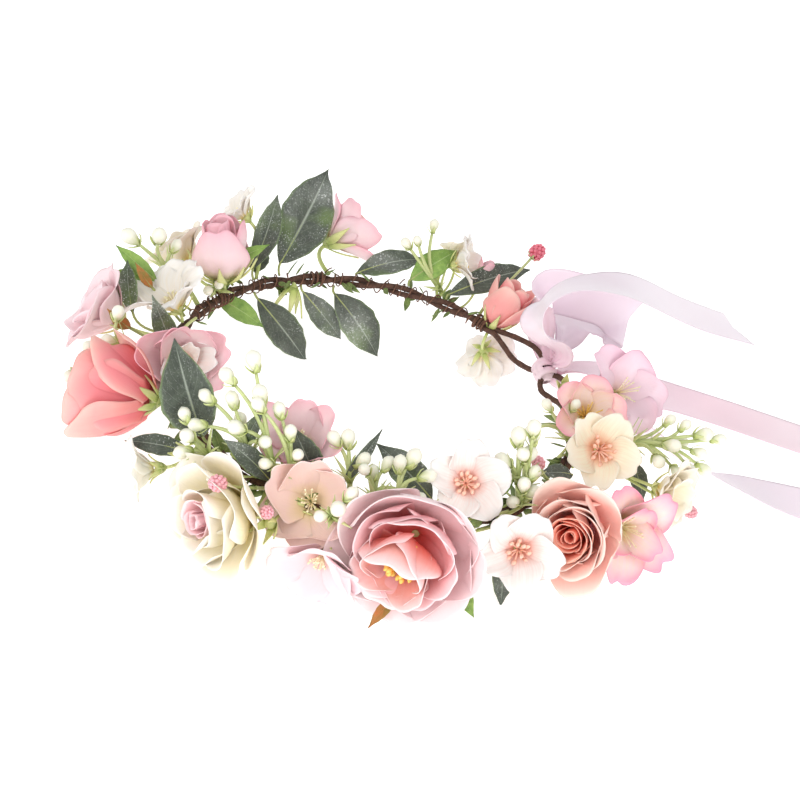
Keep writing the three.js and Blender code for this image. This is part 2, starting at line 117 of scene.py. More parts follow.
# ---- mesh building ----
class Sheets:
    """Gathers grids of points into one mesh. UV runs along (y) and across (x) each grid; the second UV map
    holds a tone that is the same all over a grid, for differences between petals."""

    def __init__(self):
        self.points, self.faces, self.uvs, self.tones = [], [], [], []

    def grid(self, rows, tone=0.5, closed=False):
        first = len(self.points)
        count = len(rows[0])
        for row in rows:
            self.points.extend(row)
        columns = count if closed else count - 1
        for i in range(len(rows) - 1):
            for j in range(columns):
                k = (j + 1) % count
                corners = ((i, j), (i, k), (i + 1, k), (i + 1, j))
                self.faces.append([first + r * count + c for r, c in corners])
                ends = ((i, j), (i, j + 1), (i + 1, j + 1), (i + 1, j))
                self.uvs.extend((c / columns, r / (len(rows) - 1)) for r, c in ends)
                self.tones.extend([(tone, 0.0)] * 4)

    def tube(self, line, radii, sides=8, tone=0.5):
        """A round closed tube along a line; a radius near 0 at an end makes a point there."""
        if isinstance(radii, (int, float)):
            radii = [radii] * len(line)
        rows = []
        side = None
        for i, point in enumerate(line):
            tangent = (line[min(i + 1, len(line) - 1)] - line[max(i - 1, 0)]).normalized()
            if side is None:
                side = tangent.orthogonal().normalized()
            side = (side - tangent * side.dot(tangent)).normalized()
            other = tangent.cross(side)
            rows.append([point + (side * math.cos(a) + other * math.sin(a)) * radii[i]
                         for a in (2 * math.pi * k / sides for k in range(sides))])
        start = [line[0]] * sides
        end = [line[-1]] * sides
        self.grid([start, *rows, end], tone, closed=True)

    def blob(self, centre, axis, radius, length, sides, rings, tone=0.5):
        """A rounded bead along axis."""
        line, radii = [], []
        for k in range(rings + 1):
            t = k / rings
            line.append(centre + axis * length * (t - 0.5))
            radii.append(max(1e-5, radius * math.sin(math.pi * t)**0.6))
        self.tube(line, radii, sides, tone)

    def build(self, name, material, body="ring", thickness=0.0, slot=None, stands_for=()):
        mesh = bpy.data.meshes.new(name)
        points = [(p.x, p.y, max(p.z, TABLE_GAP)) for p in self.points]
        mesh.from_pydata(points, [], self.faces)
        for label, values in (("UVMap", self.uvs), ("Tone", self.tones)):
            layer = mesh.uv_layers.new(name=label)
            layer.data.foreach_set("uv", [c for pair in values for c in pair])
        piece = bpy.data.objects.new(name, mesh)
        bpy.context.scene.collection.objects.link(piece)
        weld = piece.modifiers.new("weld", "WELD")
        weld.merge_threshold = 1e-6
        if thickness:
            solid = piece.modifiers.new("thickness", "SOLIDIFY")
            solid.thickness = thickness
            solid.offset = 0
        evaluated = piece.evaluated_get(bpy.context.evaluated_depsgraph_get())
        final = bpy.data.meshes.new_from_object(evaluated)
        piece.modifiers.clear()
        piece.data = final
        final.shade_smooth()
        final.materials.clear()
        final.materials.append(material)
        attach(piece, body)
        if stands_for:
            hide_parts(*stands_for)
        return piece


# ---- materials ----
def rgb(code):
    channels = [int(code[i:i + 2], 16) / 255 for i in (0, 2, 4)]
    return (*(c / 12.92 if c <= 0.04045 else ((c + 0.055) / 1.055)**2.4 for c in channels), 1)


class Shader:
    """A Principled material with short ways to add and join its nodes."""

    def __init__(self, name, roughness=0.6, subsurface=0.0, sheen=0.0, coat=0.0):
        self.material = bpy.data.materials.new(name)
        self.material.use_nodes = True
        self.tree = self.material.node_tree
        self.surface = self.tree.nodes["Principled BSDF"]
        self.surface.inputs["Roughness"].default_value = roughness
        if subsurface:
            self.surface.inputs["Subsurface Weight"].default_value = subsurface
            self.surface.inputs["Subsurface Radius"].default_value = (1, 0.85, 0.8)
            self.surface.inputs["Subsurface Scale"].default_value = 2.5 * MM
        if sheen:
            self.surface.inputs["Sheen Weight"].default_value = sheen
        if coat:
            self.surface.inputs["Coat Weight"].default_value = coat
            self.surface.inputs["Coat Roughness"].default_value = 0.25

    def node(self, kind, inputs=None, **settings):
        made = self.tree.nodes.new(kind)
        for key, value in settings.items():
            setattr(made, key, value)
        for key, value in (inputs or {}).items():
            self.feed(made, key, value)
        return made

    def feed(self, made, key, value):
        if isinstance(value, bpy.types.NodeSocket):
            self.tree.links.new(value, made.inputs[key])
        elif isinstance(value, bpy.types.Node):
            self.tree.links.new(value.outputs[0], made.inputs[key])
        else:
            made.inputs[key].default_value = value

    def math(self, operation, a, b=0.0, clamp=False):
        return self.node("ShaderNodeMath", {0: a, 1: b}, operation=operation, use_clamp=clamp).outputs[0]

    def times(self, a, b, clamp=False):
        return self.math("MULTIPLY", a, b, clamp)

    def plus(self, a, b, clamp=False):
        return self.math("ADD", a, b, clamp)

    def minus(self, a, b):
        return self.math("SUBTRACT", a, b)

    def rise(self, fac, start, end):
        """Black up to start and white from end on."""
        return self.ramp(fac, [(start, (0, 0, 0)), (end, (1, 1, 1))])

    def fall(self, fac, start, end):
        """White up to start and black from end on."""
        return self.ramp(fac, [(start, (1, 1, 1)), (end, (0, 0, 0))])

    def uv(self, label="UVMap"):
        """Across and along, each from 0 to 1."""
        split = self.node("ShaderNodeSeparateXYZ", {0: self.node("ShaderNodeUVMap", uv_map=label)})
        return split.outputs[0], split.outputs[1]

    def where(self):
        return self.node("ShaderNodeTexCoord").outputs["Object"]

    def noise(self, scale, detail=3, vector=None, roughness=0.5):
        made = self.node("ShaderNodeTexNoise", {"Scale": scale, "Detail": detail, "Roughness": roughness,
                                                "Vector": vector or self.where()})
        return made.outputs["Fac"]

    def ramp(self, fac, stops):
        made = self.node("ShaderNodeValToRGB", {0: fac})
        band = made.color_ramp
        while len(band.elements) < len(stops):
            band.elements.new(0.5)
        for element, (position, colour) in zip(band.elements, stops):
            element.position = position
            element.color = colour if len(colour) == 4 else (*colour, 1)
        return made.outputs[0]

    def blend(self, fac, a, b, mode="MIX"):
        made = self.node("ShaderNodeMix", data_type="RGBA", blend_type=mode)
        self.feed(made, 0, fac)
        self.feed(made, 6, a)
        self.feed(made, 7, b)
        return made.outputs[2]

    def bump(self, height, strength, distance):
        made = self.node("ShaderNodeBump", {"Height": height, "Strength": strength, "Distance": distance})
        self.tree.links.new(made.outputs[0], self.surface.inputs["Normal"])

    def colour(self, value):
        self.feed(self.surface, "Base Color", value)


def petal_material(name, throat, body, tip, edge, throat_end, streaks):
    """Dyed petal cloth: a throat colour that fades into the body, a tip and rim tint, fine veins from the
    base outwards, small blotches of dye, and the cloth's weave."""
    s = Shader(name, roughness=0.6, subsurface=0.25)
    across, along = s.uv()
    tone, _ = s.uv("Tone")
    blotch = s.noise(90, 4)
    drift = s.times(s.minus(blotch, 0.5), 0.35)
    reach = s.plus(along, drift, clamp=True)
    stops = [(0.0, rgb(throat)), (throat_end, rgb(body)), (0.62, rgb(body)), (1.0, rgb(tip))]
    base = s.ramp(reach, stops)
    off = s.times(s.math("ABSOLUTE", s.minus(across, 0.5)), 2.0)
    rim = s.math("MAXIMUM", s.math("POWER", off, 6.0), s.math("POWER", along, 10.0))
    rim = s.times(rim, s.plus(s.times(tone, 0.5), 0.2), clamp=True)
    base = s.blend(rim, base, rgb(edge))
    fan = s.node("ShaderNodeCombineXYZ", {0: s.times(across, 26.0),
                                          1: s.times(along, 2.2)})
    veins = s.noise(1.0, 3, vector=fan.outputs[0])
    vein_fac = s.rise(veins, 0.45, 0.62)
    fade = s.times(s.minus(1.0, along), streaks, clamp=True)
    base = s.blend(s.times(vein_fac, fade), base, rgb(throat))
    light = s.ramp(tone, [(0.0, (0.90, 0.90, 0.90)), (1.0, (1, 1, 1))])
    base = s.blend(1.0, base, light, mode="MULTIPLY")
    s.colour(base)
    threads = s.node("ShaderNodeTexWave", {"Scale": 900.0, "Distortion": 0.4, "Vector": s.where()})
    cloth = s.plus(veins, s.times(threads.outputs["Fac"], 0.12))
    cloth = s.plus(cloth, s.times(s.noise(700, 2), 0.25))
    s.bump(cloth, 0.35, 0.35 * MM)
    return s.material


def leaf_material(name, deep, mid, frost, midrib, frost_share=0.5):
    """A printed cloth leaf: pale midrib and side veins, a mottled blade, and frost crystals on top."""
    s = Shader(name, roughness=0.72)
    across, along = s.uv()
    off = s.math("ABSOLUTE", s.minus(across, 0.5))
    mottle = s.noise(240, 5, roughness=0.65)
    base = s.ramp(mottle, [(0.3, rgb(deep)), (0.7, rgb(mid))])
    slant = s.minus(s.times(along, 9.0), s.times(off, 7.0))
    side = s.math("ABSOLUTE", s.minus(s.math("FRACT", slant), 0.5))
    side_vein = s.fall(side, 0.0, 0.09)
    fresh = s.rise(s.noise(42, 2), 0.56, 0.72)
    base = s.blend(s.times(fresh, 0.5), base, rgb("6d8a3a"))
    base = s.blend(s.times(side_vein, 0.12), base, rgb(midrib))
    rib = s.fall(off, 0.0, 0.035)
    base = s.blend(s.times(rib, 0.75), base, rgb(midrib))
    edge = s.rise(off, 0.44, 0.5)
    base = s.blend(s.times(edge, 0.55), base, rgb("7f9a58"))
    patches = s.rise(s.noise(45, 2), 0.48, 0.7)
    crystals = s.node("ShaderNodeTexVoronoi", {"Scale": 900.0, "Randomness": 1.0, "Vector": s.where()})
    speck = s.fall(crystals.outputs["Distance"], 0.17, 0.32)
    cloud = s.rise(s.noise(38, 3), 0.5, 0.78)
    grains = s.rise(s.noise(900, 3, roughness=0.7), 0.56, 0.68)
    thin = s.times(s.plus(cloud, 0.2), s.plus(grains, 0.3), clamp=True)
    frosting = s.times(s.math("MAXIMUM", s.times(speck, patches), thin), frost_share)
    base = s.blend(frosting, base, rgb(frost))
    haze = s.times(s.times(cloud, grains), 0.5 * frost_share)
    base = s.blend(haze, base, rgb(frost))
    s.colour(base)
    relief = s.plus(s.times(rib, -1.2), s.times(side_vein, -0.5))
    relief = s.plus(relief, s.times(speck, 0.5))
    s.bump(s.plus(relief, s.times(mottle, 0.4)), 0.6, 0.4 * MM)
    return s.material


def satin_material(name, face, deep):
    """Satin ribbon: soft long highlights and shade painted into its colour as lighter and darker bands, faint
    threads across and along it, woven edges.
    """
    s = Shader(name, roughness=0.38, subsurface=0.15, sheen=0.25)
    across, along = s.uv()
    # Painted highlight and shade: broad soft bands between the lighter face colour and the darker deep colour
    # stand in for the satin's shimmer.
    painted_sheen = s.noise(14, 3)
    base = s.ramp(painted_sheen, [(0.3, rgb(face)), (0.75, rgb(deep))])
    off = s.times(s.math("ABSOLUTE", s.minus(across, 0.5)), 2.0)
    selvedge = s.rise(off, 0.93, 0.96)
    base = s.blend(s.times(selvedge, 0.35), base, rgb("d9c3d0"))
    near_knot = s.fall(along, 0.0, 0.3)
    base = s.blend(s.times(near_knot, 0.65), base, rgb("efb3c6"))
    s.colour(base)
    weft = s.math("SINE", s.times(along, 2600.0))
    warp = s.math("SINE", s.times(across, 420.0))
    s.bump(s.plus(s.times(weft, 0.5), warp), 0.12, 0.1 * MM)
    return s.material


def bark_material(name, dark, light):
    """Crepe paper wound on wire: slanting laps, fibres and worn pale spots."""
    s = Shader(name, roughness=0.85)
    across, along = s.uv()
    laps = s.math("FRACT", s.plus(s.times(along, 130.0), across))
    fibres = s.noise(500, 6, roughness=0.7)
    base = s.ramp(fibres, [(0.3, rgb(dark)), (0.75, rgb(light))])
    lap = s.fall(laps, 0.0, 0.12)
    base = s.blend(s.times(lap, 0.45), base, rgb("2b1b15"))
    s.colour(base)
    s.bump(s.plus(laps, s.times(fibres, 0.8)), 0.7, 0.5 * MM)
    return s.material


def wax_material(name, low, high, gloss=0.35):
    """Moulded wax-like plastic that shades from one colour at its foot to another at its tip."""
    s = Shader(name, roughness=gloss, subsurface=0.3, coat=0.15)
    _, along = s.uv()
    speck = s.noise(300, 3)
    reach = s.plus(along, s.times(s.minus(speck, 0.5), 0.35), clamp=True)
    s.colour(s.ramp(reach, [(0.12, rgb(low)), (0.5, rgb(high))]))
    s.bump(s.noise(260, 3), 0.15, 0.3 * MM)
    return s.material


# Each row: colours of throat, body, tip and rim, where the throat ends, and the strength of its streaks.
PETAL_DYES = {
    "peony_outer": ("f0b4ac", "f8d3d5", "fadddf", "fce9ea", 0.4, 0.2),
    "peony_middle": ("ec5f55", "fbb6b8", "fcd3d6", "fdebed", 0.5, 0.25),
    "peony_inner": ("f5623a", "fcaea4", "fddcdc", "fef2f2", 0.62, 0.3),
    "coral_deep": ("f05a60", "f8757b", "fb948f", "fdcdbc", 0.2, 0.12),
    "cream_rose": ("f9e274", "fdf2d2", "fef6e8", "fffbf3", 0.55, 0.2),
    "coral": ("f3686c", "fc868d", "fda29f", "ffdcc8", 0.3, 0.14),
    "coral_light": ("f87d7c", "fda39f", "ffbdb2", "ffe4d2", 0.35, 0.14),
    "pink": ("fbf2d0", "fdd6dc", "fcb2c0", "fcc6d0", 0.4, 0.12),
    "rosebud": ("f8e8c4", "fddae0", "fcc2cd", "f296aa", 0.3, 0.12),
    "blush": ("f8c4bc", "fcd5da", "fcdce2", "fce2e5", 0.3, 0.15),
    "blush_inner": ("f08a83", "fabcbf", "fcd0d5", "fcdada", 0.45, 0.2),
    "white": ("f2cb40", "f9f2e8", "fbf6f0", "fcfaf7", 0.28, 0.2),
    "white_peach": ("f8957a", "faeee8", "fbf5f1", "fcfaf8", 0.5, 0.25),
    "cream": ("f5d25c", "faeed2", "fcf2e2", "fcf7ec", 0.36, 0.2),
    "cream_star": ("fa9c6e", "fbedcd", "fcf2dc", "fcf6e6", 0.5, 0.3),
    "peach": ("fae4ac", "fddbd2", "fccfca", "fde6de", 0.45, 0.12),
    "rose_core": ("f23c28", "ff8068", "ffa08a", "ffd4bd", 0.42, 0.2),
    "rose_outer": ("ff937f", "ffc0b4", "ffd2c6", "ffeedf", 0.5, 0.15),
    "pink_yellow": ("f9d65a", "fddfd3", "fcb8c0", "f48fa4", 0.4, 0.3),
    "lilac": ("faddd8", "fadbe8", "f8cfe0", "f2adc6", 0.3, 0.12),
    "tipped": ("fbe58c", "fde0dc", "fb9cb4", "f892ae", 0.45, 0.35),
    "daisy": ("f0dc72", "faf4e4", "fbf7ee", "fdfbf5", 0.25, 0.15),
}
PETALS = {name: petal_material("petal_" + name, *dyes) for name, dyes in PETAL_DYES.items()}
FROSTED = leaf_material("leaf_frosted", "2e352b", "4b5545", "dfe4df", "b4bdae", 0.7)
FRESH_LEAF = leaf_material("leaf_fresh", "6a8f42", "9bbb5e", "e3ecce", "bcd68c", 0.1)
RUSSET_LEAF = leaf_material("leaf_russet", "7f7c38", "c9713c", "e8d8c0", "dba268", 0.08)
OLIVE_LEAF = leaf_material("leaf_olive", "8d9a55", "b3b878", "e6e6c8", "dcd9a5", 0.25)
GREENERY = leaf_material("leaf_greenery", "4a5d34", "8b9f56", "dfe4d0", "b9c58a", 0.1)
SATIN = satin_material("satin", "efe2ec", "e8d6e2")
SATIN_PINK = satin_material("satin_pink", "f2dce4", "efcfd9")
BARK = bark_material("bark", "3a261e", "6b4a3b")
BINDING = bark_material("binding", "5d3d2e", "8c6450")
BUD = wax_material("bud", "c3cd86", "eeeddd")
STEM = wax_material("stem", "a9b86a", "c5cf8d", 0.5)
SEPAL = wax_material("sepal", "a3b45c", "cdd18a", 0.55)
BERRY = wax_material("berry", "c93f58", "e8788a", 0.3)
BERRY_PINK = wax_material("berry_pink", "d9808f", "f0aab3", 0.35)
STAMEN = wax_material("stamen", "eda33c", "f6cf6a", 0.5)
STAMEN_CREAM = wax_material("stamen_cream", "e9d98f", "f6ecc4", 0.5)
STAMEN_PEACH = wax_material("stamen_peach", "f4a888", "fac6b0", 0.5)


# ---- hoop and binding ----
WRAP_ENDS = 9
EYE_LEAN = 20
FIRST_EYE = (37, 57)
LAST_EYE = (393, 380)
TWIST_TURNS = 11
# Share of the way from an eye's tip to its root, and the gap from the hoop's middle line in mm.
EYE_OUTLINE = [(0, 0.15), (0, 2.4), (0.14, 4.8), (0.42, 6.2), (0.75, 3.8)]


def strand_point(angle, side, offset, phase):
    turn = math.radians(phase)
    return place((angle, HOOP_RADIUS + side * offset * math.cos(turn), side * offset * math.sin(turn)))


def eye_points(eye, side):
    tip, root = eye
    return [strand_point(mix(tip, root, share), side, offset, EYE_LEAN) for share, offset in EYE_OUTLINE]


def make_strand(name, side):
    points = eye_points(FIRST_EYE, side)
    steps = TWIST_TURNS * 8
    for step in range(steps + 1):
        angle = mix(FIRST_EYE[1], LAST_EYE[1], step / steps)
        points.append(strand_point(angle, side, STRAND_OFFSET, EYE_LEAN + 45 * step))
    points += reversed(eye_points(LAST_EYE, side))
    line = catmull(points, 4)
    radii = []
    for i, point in enumerate(line):
        knobble = noise.noise(point * 260 + Vector((side * 9, 0, 0)))
        radii.append((STRAND_RADIUS + 0.10 * knobble + 0.07 * math.sin(i * 2.1)) * MM)
    sheets = Sheets()
    sheets.tube(line, radii, sides=14)
    sheets.build(name, BARK, slot="bark", stands_for=[name])


# Each row: name, angle of its middle on the hoop, and turns.
BINDINGS = [("binding_wire_right", 63, 3), ("binding_wire_back", 117, 3), ("binding_wire_left", 152, 3)]


def coil_line(middle, turns, pitch, coil):
    line = []
    steps = turns * 14
    for step in range(steps + 1):
        angle = middle + pitch * (step / 14 - turns / 2)
        line.append(strand_point(angle, 1, coil, 360 * step / 14))
    return line


def make_wraps():
    """The thin wire that runs round the hoop's bare back in uneven turns, with a few short ends."""
    seeded = random.Random(7)
    sheets = Sheets()
    line = []
    phase = 0.0
    angle = 61.0
    while angle < 166:
        line.append(strand_point(angle, 1, 3.15 + 0.35 * math.sin(angle * 1.7), phase))
        tight = 0.5 + 0.5 * math.sin(angle * 0.21 + 1) * math.sin(angle * 0.47)
        phase += 30
        angle += mix(0.12, 0.5, tight) + seeded.uniform(0, 0.05)
    sheets.tube(catmull(line, 2), 0.3 * MM, sides=6)
    for _ in range(WRAP_ENDS):
        at = seeded.uniform(64, 164)
        root = strand_point(at, 1, 3.0, seeded.uniform(0, 360))
        out = (root - place((at, HOOP_RADIUS, 0))).normalized()
        tip = root + (out * seeded.uniform(2, 4) + around(at + 90, seeded.uniform(-4, 4))) * MM
        sheets.tube(bezier(root, (root + tip) / 2 + out * MM, tip, 5), [0.3 * MM] * 5 + [0.1 * MM], sides=5)
    sheets.build("wrap_wire", BINDING, slot="binding")


def make_bindings():
    for name, middle, turns in BINDINGS:
        sheets = Sheets()
        sheets.tube(coil_line(middle, turns, 1.6, 3.5), 0.45 * MM, sides=8)
        sheets.build(name, BINDING, slot="binding", stands_for=[name])


# ---- ribbon ----
# Each row: a place on the middle line, and the [azimuth, lift] of the ribbon's width there.
RIBBONS = {
    "ribbon_bow_loop": [
        ([36, 93, 4], [0, 70]),
        ([44, 99, 5], [0, 70]),
        ([50, 103, 14], [0, 80]),
        ([51, 108, 24], [0, 90]),
        ([44, 122, 25], [0, 90]),
        ([41, 132, 23], [90, 86]),
        ([39, 139, 17], [90, 60]),
        ([43, 140, 9], [90, 12]),
        ([46, 132, 8], [90, 0]),
        ([47, 121, 7], [90, 0]),
        ([43, 107, 5], [90, 30]),
        ([36, 95, 3], [90, 40]),
    ],
    "ribbon_tail_upper": [
        ([35, 94, 5], [112, -40]),
        ([34, 93, 13], [112, -40]),
        ([33, 77, 28], [108, -38]),
        ([34, 76, 40], [98, -30]),
        ([35, 88, 47], [94, -22]),
        ([36, 108, 46], [95, -16]),
        ([38, 138, 36], [100, -6]),
        ([41, 187, 10], [110, 0]),
        ([43, 238, -14], [118, 0]),
    ],
    "ribbon_tail_long": [
        ([35, 93, 0], [100, -40]),
        ([36, 99, -3], [100, -40]),
        ([36, 116, -4], [100, -20]),
        ([36, 142, -14], [100, 0]),
        ([36, 170, -25], [95, 0]),
        ([31, 200, -29], [92, 0]),
        ([25, 232, -29], [90, 0]),
        ([22, 259, -29], [88, 0]),
    ],
    "ribbon_tail_low": [
        ([35, 92, -2], [100, -40]),
        ([33, 99, -6], [100, -40]),
        ([28, 119, -12], [90, -50]),
        ([22, 141, -18], [90, -44]),
        ([14, 163, -22], [90, -33]),
        ([13, 189, -27], [90, -12]),
        ([12, 212, -29], [90, 0]),
        ([11, 240, -29], [90, 0]),
    ],
}
# Share of the width at the knot, and how fast it opens out along the ribbon.
GATHER = 0.3
GATHER_SPREAD = 3.5


def make_ribbon(name, rows, material, notch=0.0):
    """A ribbon along its rows, pleated at the knot; notch is how deep its far end is cut in, in mm."""
    loop = name == "ribbon_bow_loop"
    line = catmull([place(at) for at, _ in rows], 10)
    widths = catmull([direction(*across) for _, across in rows], 10)
    last = len(line) - 1
    grid = []
    for i, point in enumerate(line):
        t = i / last
        tangent = (line[min(i + 1, last)] - line[max(i - 1, 0)]).normalized()
        side = widths[i]
        side = (side - tangent * side.dot(tangent)).normalized()
        normal = tangent.cross(side)
        from_knot = min(t, 1 - t) if loop else t
        share = min(1, GATHER + GATHER_SPREAD * from_knot)
        fold = 2.2 * (1 - share)
        row = []
        for j in range(17):
            s = j / 8 - 1
            lift = fold * math.cos(4.5 * math.pi * s) + 0.5 * share * (s * s - 0.4) * math.sin(9 * t + 1)
            back = notch * (1 - abs(s)) * max(0, (t - 0.9) / 0.1)
            row.append(point + side * s * share * RIBBON_WIDTH / 2 * MM + normal * lift * MM
                       - tangent * back * MM)
        grid.append(row)
    sheets = Sheets()
    sheets.grid(grid)
    piece = sheets.build(name, material, thickness=0.3 * MM, slot="satin", stands_for=[name])


def make_knot():
    """The ribbon's knot: bands wound over the meeting of the two eyes, and one band across them."""
    middle = place((35, HOOP_RADIUS, 1))
    along = direction(125, 0)
    out = direction(35, 0)
    up = Vector((0, 0, 1))
    sheets = Sheets()
    for k, (shift, lean, size) in enumerate([(-2.6, 12, 4.8), (0.2, -8, 5.4), (2.8, 16, 4.7)]):
        band = []
        axis = Quaternion(out, math.radians(lean)) @ along
        side = axis.cross(up).normalized()
        top = side.cross(axis)
        for step in range(29):
            a = 2 * math.pi * step / 28
            puff = 1 + 0.06 * math.sin(3 * a + k)
            row = []
            for j in range(7):
                s = j / 3 - 1
                reach = (size - 0.8 * s * s + 0.25 * math.sin(5 * s + 2 * a)) * puff
                ring = side * math.cos(a) + top * math.sin(a)
                row.append(middle + (ring * reach + axis * (shift + 1.9 * s)) * MM)
            band.append(row)
        sheets.grid(band, tone=0.3 * k)
    for lean in (35, -25):
        band = []
        axis = Quaternion(along, math.radians(lean)) @ up
        for step in range(25):
            a = 2 * math.pi * step / 24
            row = []
            for j in range(5):
                s = j / 2 - 1
                side = out * math.cos(a) * 5.4 + along * math.sin(a) * 5.0
                side = Quaternion(along, math.radians(lean)) @ side
                row.append(middle + (side * (1 - 0.06 * s * s) + axis * 1.6 * s) * MM)
            band.append(row)
        sheets.grid(band, tone=0.9)
    sheets.build("ribbon_knot", SATIN_PINK, thickness=0.3 * MM, slot="satin", stands_for=["ribbon_knot"])


# ---- petals ----
def petal(length, width, lean, cup=30, curl=0.0, ruffle=0.0, waves=2, notch=0.0, claw=0.25, belly=0.6,
          blunt=0.3, shrink=0.14, ribs=0.0, wrap=False, foot=1.0, lift=0.0, twist=0.0, phase=0.0, along=14,
          across=16):
    """One petal as rows of (outwards, sideways, forwards) in millimetres from the flower's base. lean is its
    angle off the flower's axis at foot and tip; wrap bends it round the axis like the heart of a rose."""
    steps = 30
    spine = []
    out, up = foot, lift
    for k in range(steps + 1):
        s = k / steps
        angle = math.radians(mix(lean[0], lean[1], s) + curl * max(0, (s - 0.68) / 0.32)**2)
        spine.append((out, up, angle))
        out += math.sin(angle) * length / steps
        up += math.cos(angle) * length / steps
    rows = []
    for i in range(along + 1):
        u = i / along
        half = width / 2 * (claw + (1 - claw) * math.sin(math.pi / 2 * min(1, u / belly))**1.3)
        if u > belly:
            half *= 1 - shrink * ((u - belly) / (1 - belly))**2
        row = []
        for j in range(across + 1):
            v = 2 * j / across - 1
            s = u * (1 - blunt * abs(v)**2.4) - notch * u**4 * math.exp(-(v / 0.22)**2)
            s += 0.014 * math.sin(6 * v + phase) * u**3
            s = min(1, max(0, s))
            k = min(steps - 1, int(s * steps))
            f = s * steps - k
            o = mix(spine[k][0], spine[k + 1][0], f)
            h = mix(spine[k][1], spine[k + 1][1], f)
            angle = mix(spine[k][2], spine[k + 1][2], f)
            if wrap:
                bend = min(2.4, half / max(1.2, o))
            else:
                bend = math.radians(cup) * (0.5 + 0.5 * u)
            bend = max(0.02, bend)
            side = half * math.sin(bend * v) / bend
            rise = half * (1 - math.cos(bend * v)) / bend
            rise += ruffle * u**2.2 * math.sin(waves * math.pi * v + phase) * (0.35 + 0.65 * abs(v))
            rise += math.tan(math.radians(twist)) * side + ribs * u * math.sin(30 * v + phase)
            row.append((o - math.cos(angle) * rise, side, h + math.sin(angle) * rise))
        rows.append(row)
    return rows


class Flower:
    """A flower head on the ring, in its own frame: base point, axis towards its face, and a seeded random
    stream."""

    def __init__(self, name, at, face, depth, seed):
        self.name = name
        self.axis = direction(*face)
        self.base = place(at) - self.axis * depth * 0.9 * MM
        self.right = Vector((0, 0, 1)).cross(self.axis).normalized()
        self.top = self.axis.cross(self.right)
        self.random = random.Random(seed)

    def point(self, out, side, up, turn):
        c, s = math.cos(turn), math.sin(turn)
        radial = self.right * c + self.top * s
        tangent = self.top * c - self.right * s
        return self.base + (radial * out + tangent * side + self.axis * up) * MM

    def one(self, sheets, turn, tone=0.5, **shape):
        """One petal at a turn in degrees: 0 is to the right and 90 up, looking into the flower."""
        rows = petal(**shape)
        sheets.grid([[self.point(*p, math.radians(turn)) for p in row] for row in rows], tone)

    def some(self, sheets, rows, **common):
        """Petals one by one; each row: turn, length, width, lean, cup, curl and notch."""
        for turn, length, width, lean, cup, curl, notch in rows:
            self.one(sheets, turn, self.random.random(), length=length, width=width, lean=lean, cup=cup,
                     curl=curl, notch=notch, phase=self.random.uniform(0, 6.28), **common)

    def ring(self, sheets, count, start=0.0, jitter=5, oval=0.0, **shape):
        """count petals around the axis; each varies a little in size, lean and ruffle. oval makes those at
        the two sides shorter and more upright than those at top and bottom."""
        for k in range(count):
            turn = math.radians(start + 360 * k / count + self.random.uniform(-jitter, jitter))
            own = dict(shape)
            own.setdefault("twist", 7)
            own["length"] = shape["length"] * self.random.uniform(0.93, 1.06)
            own["width"] = shape["width"] * self.random.uniform(0.94, 1.06)
            tilt = self.random.uniform(-jitter, jitter) * 0.8
            narrow = oval * math.cos(turn - 0.26)**2
            own["length"] *= 1 - 0.12 * narrow
            own["lean"] = (shape["lean"][0] + 0.4 * tilt - 20 * narrow, shape["lean"][1] + tilt - 22 * narrow)
            own["phase"] = self.random.uniform(0, 6.28)
            rows = petal(**own)
            tone = self.random.random()
            sheets.grid([[self.point(*p, turn) for p in row] for row in rows], tone)

    def stamens(self, material, count, length, splay, bead=0.9, thread=0.28, lift=2.0, name=None,
                stands_for=()):
        sheets = Sheets()
        for k in range(count):
            turn = 2 * math.pi * k / count + self.random.uniform(-0.25, 0.25)
            reach = length * self.random.uniform(0.75, 1.1)
            lean = math.radians(splay * self.random.uniform(0.35, 1.1))
            line = []
            for i in range(5):
                t = i / 4
                line.append(self.point(0.4 + math.sin(lean) * reach * t**1.3, 0,
                                       lift + math.cos(lean) * reach * t, turn))
            sheets.tube(line, thread * MM, sides=5)
            heading = (line[-1] - line[-2]).normalized()
            across = heading.orthogonal().normalized()
            sheets.blob(line[-1], (heading + across * 0.6).normalized(), bead * 0.55 * MM, bead * 1.7 * MM,
                        sides=6, rings=5)
        sheets.build(name or self.name + "_stamens", material, slot="stamen", stands_for=stands_for)

    def calyx(self, count=5, length=9, width=4, lean=(55, 25), cup_radius=2.6):
        """The green cup under the petals with its pointed sepals."""
        sheets = Sheets()
        foot = self.base - self.axis * 3.2 * MM
        line = [foot + self.axis * k * 1.1 * MM for k in range(5)]
        sheets.tube(line, [r * cup_radius * MM for r in (0.35, 0.72, 0.95, 1.0, 0.7)], sides=10)
        for k in range(count):
            turn = 2 * math.pi * k / count + self.random.uniform(-0.2, 0.2)
            rows = petal(length=length * self.random.uniform(0.85, 1.1), width=width, lean=lean, cup=35,
                         claw=0.5, belly=0.35, blunt=0.0, along=7, across=4, foot=cup_radius * 0.7, lift=-2.2,
                         curl=15, phase=self.random.uniform(0, 6))
            tapered = []
            for i, row in enumerate(rows):
                share = max(0.04, 1 - (i / 7)**1.7)
                tapered.append([(o, side * share, up) for o, side, up in row])
            sheets.grid([[self.point(*p, turn) for p in row] for row in tapered])
        sheets.build(self.name + "_calyx", SEPAL, thickness=0.3 * MM, slot="fresh_leaf")

    def stem(self, radius=0.75):
        foot = self.base - self.axis * 3 * MM
        line = stem_line(foot, self.axis)
        if line:
            sheets = Sheets()
            sheets.tube(line, radius * MM, sides=8)
            sheets.build(self.name + "_stem", STEM, slot="wax_bud")


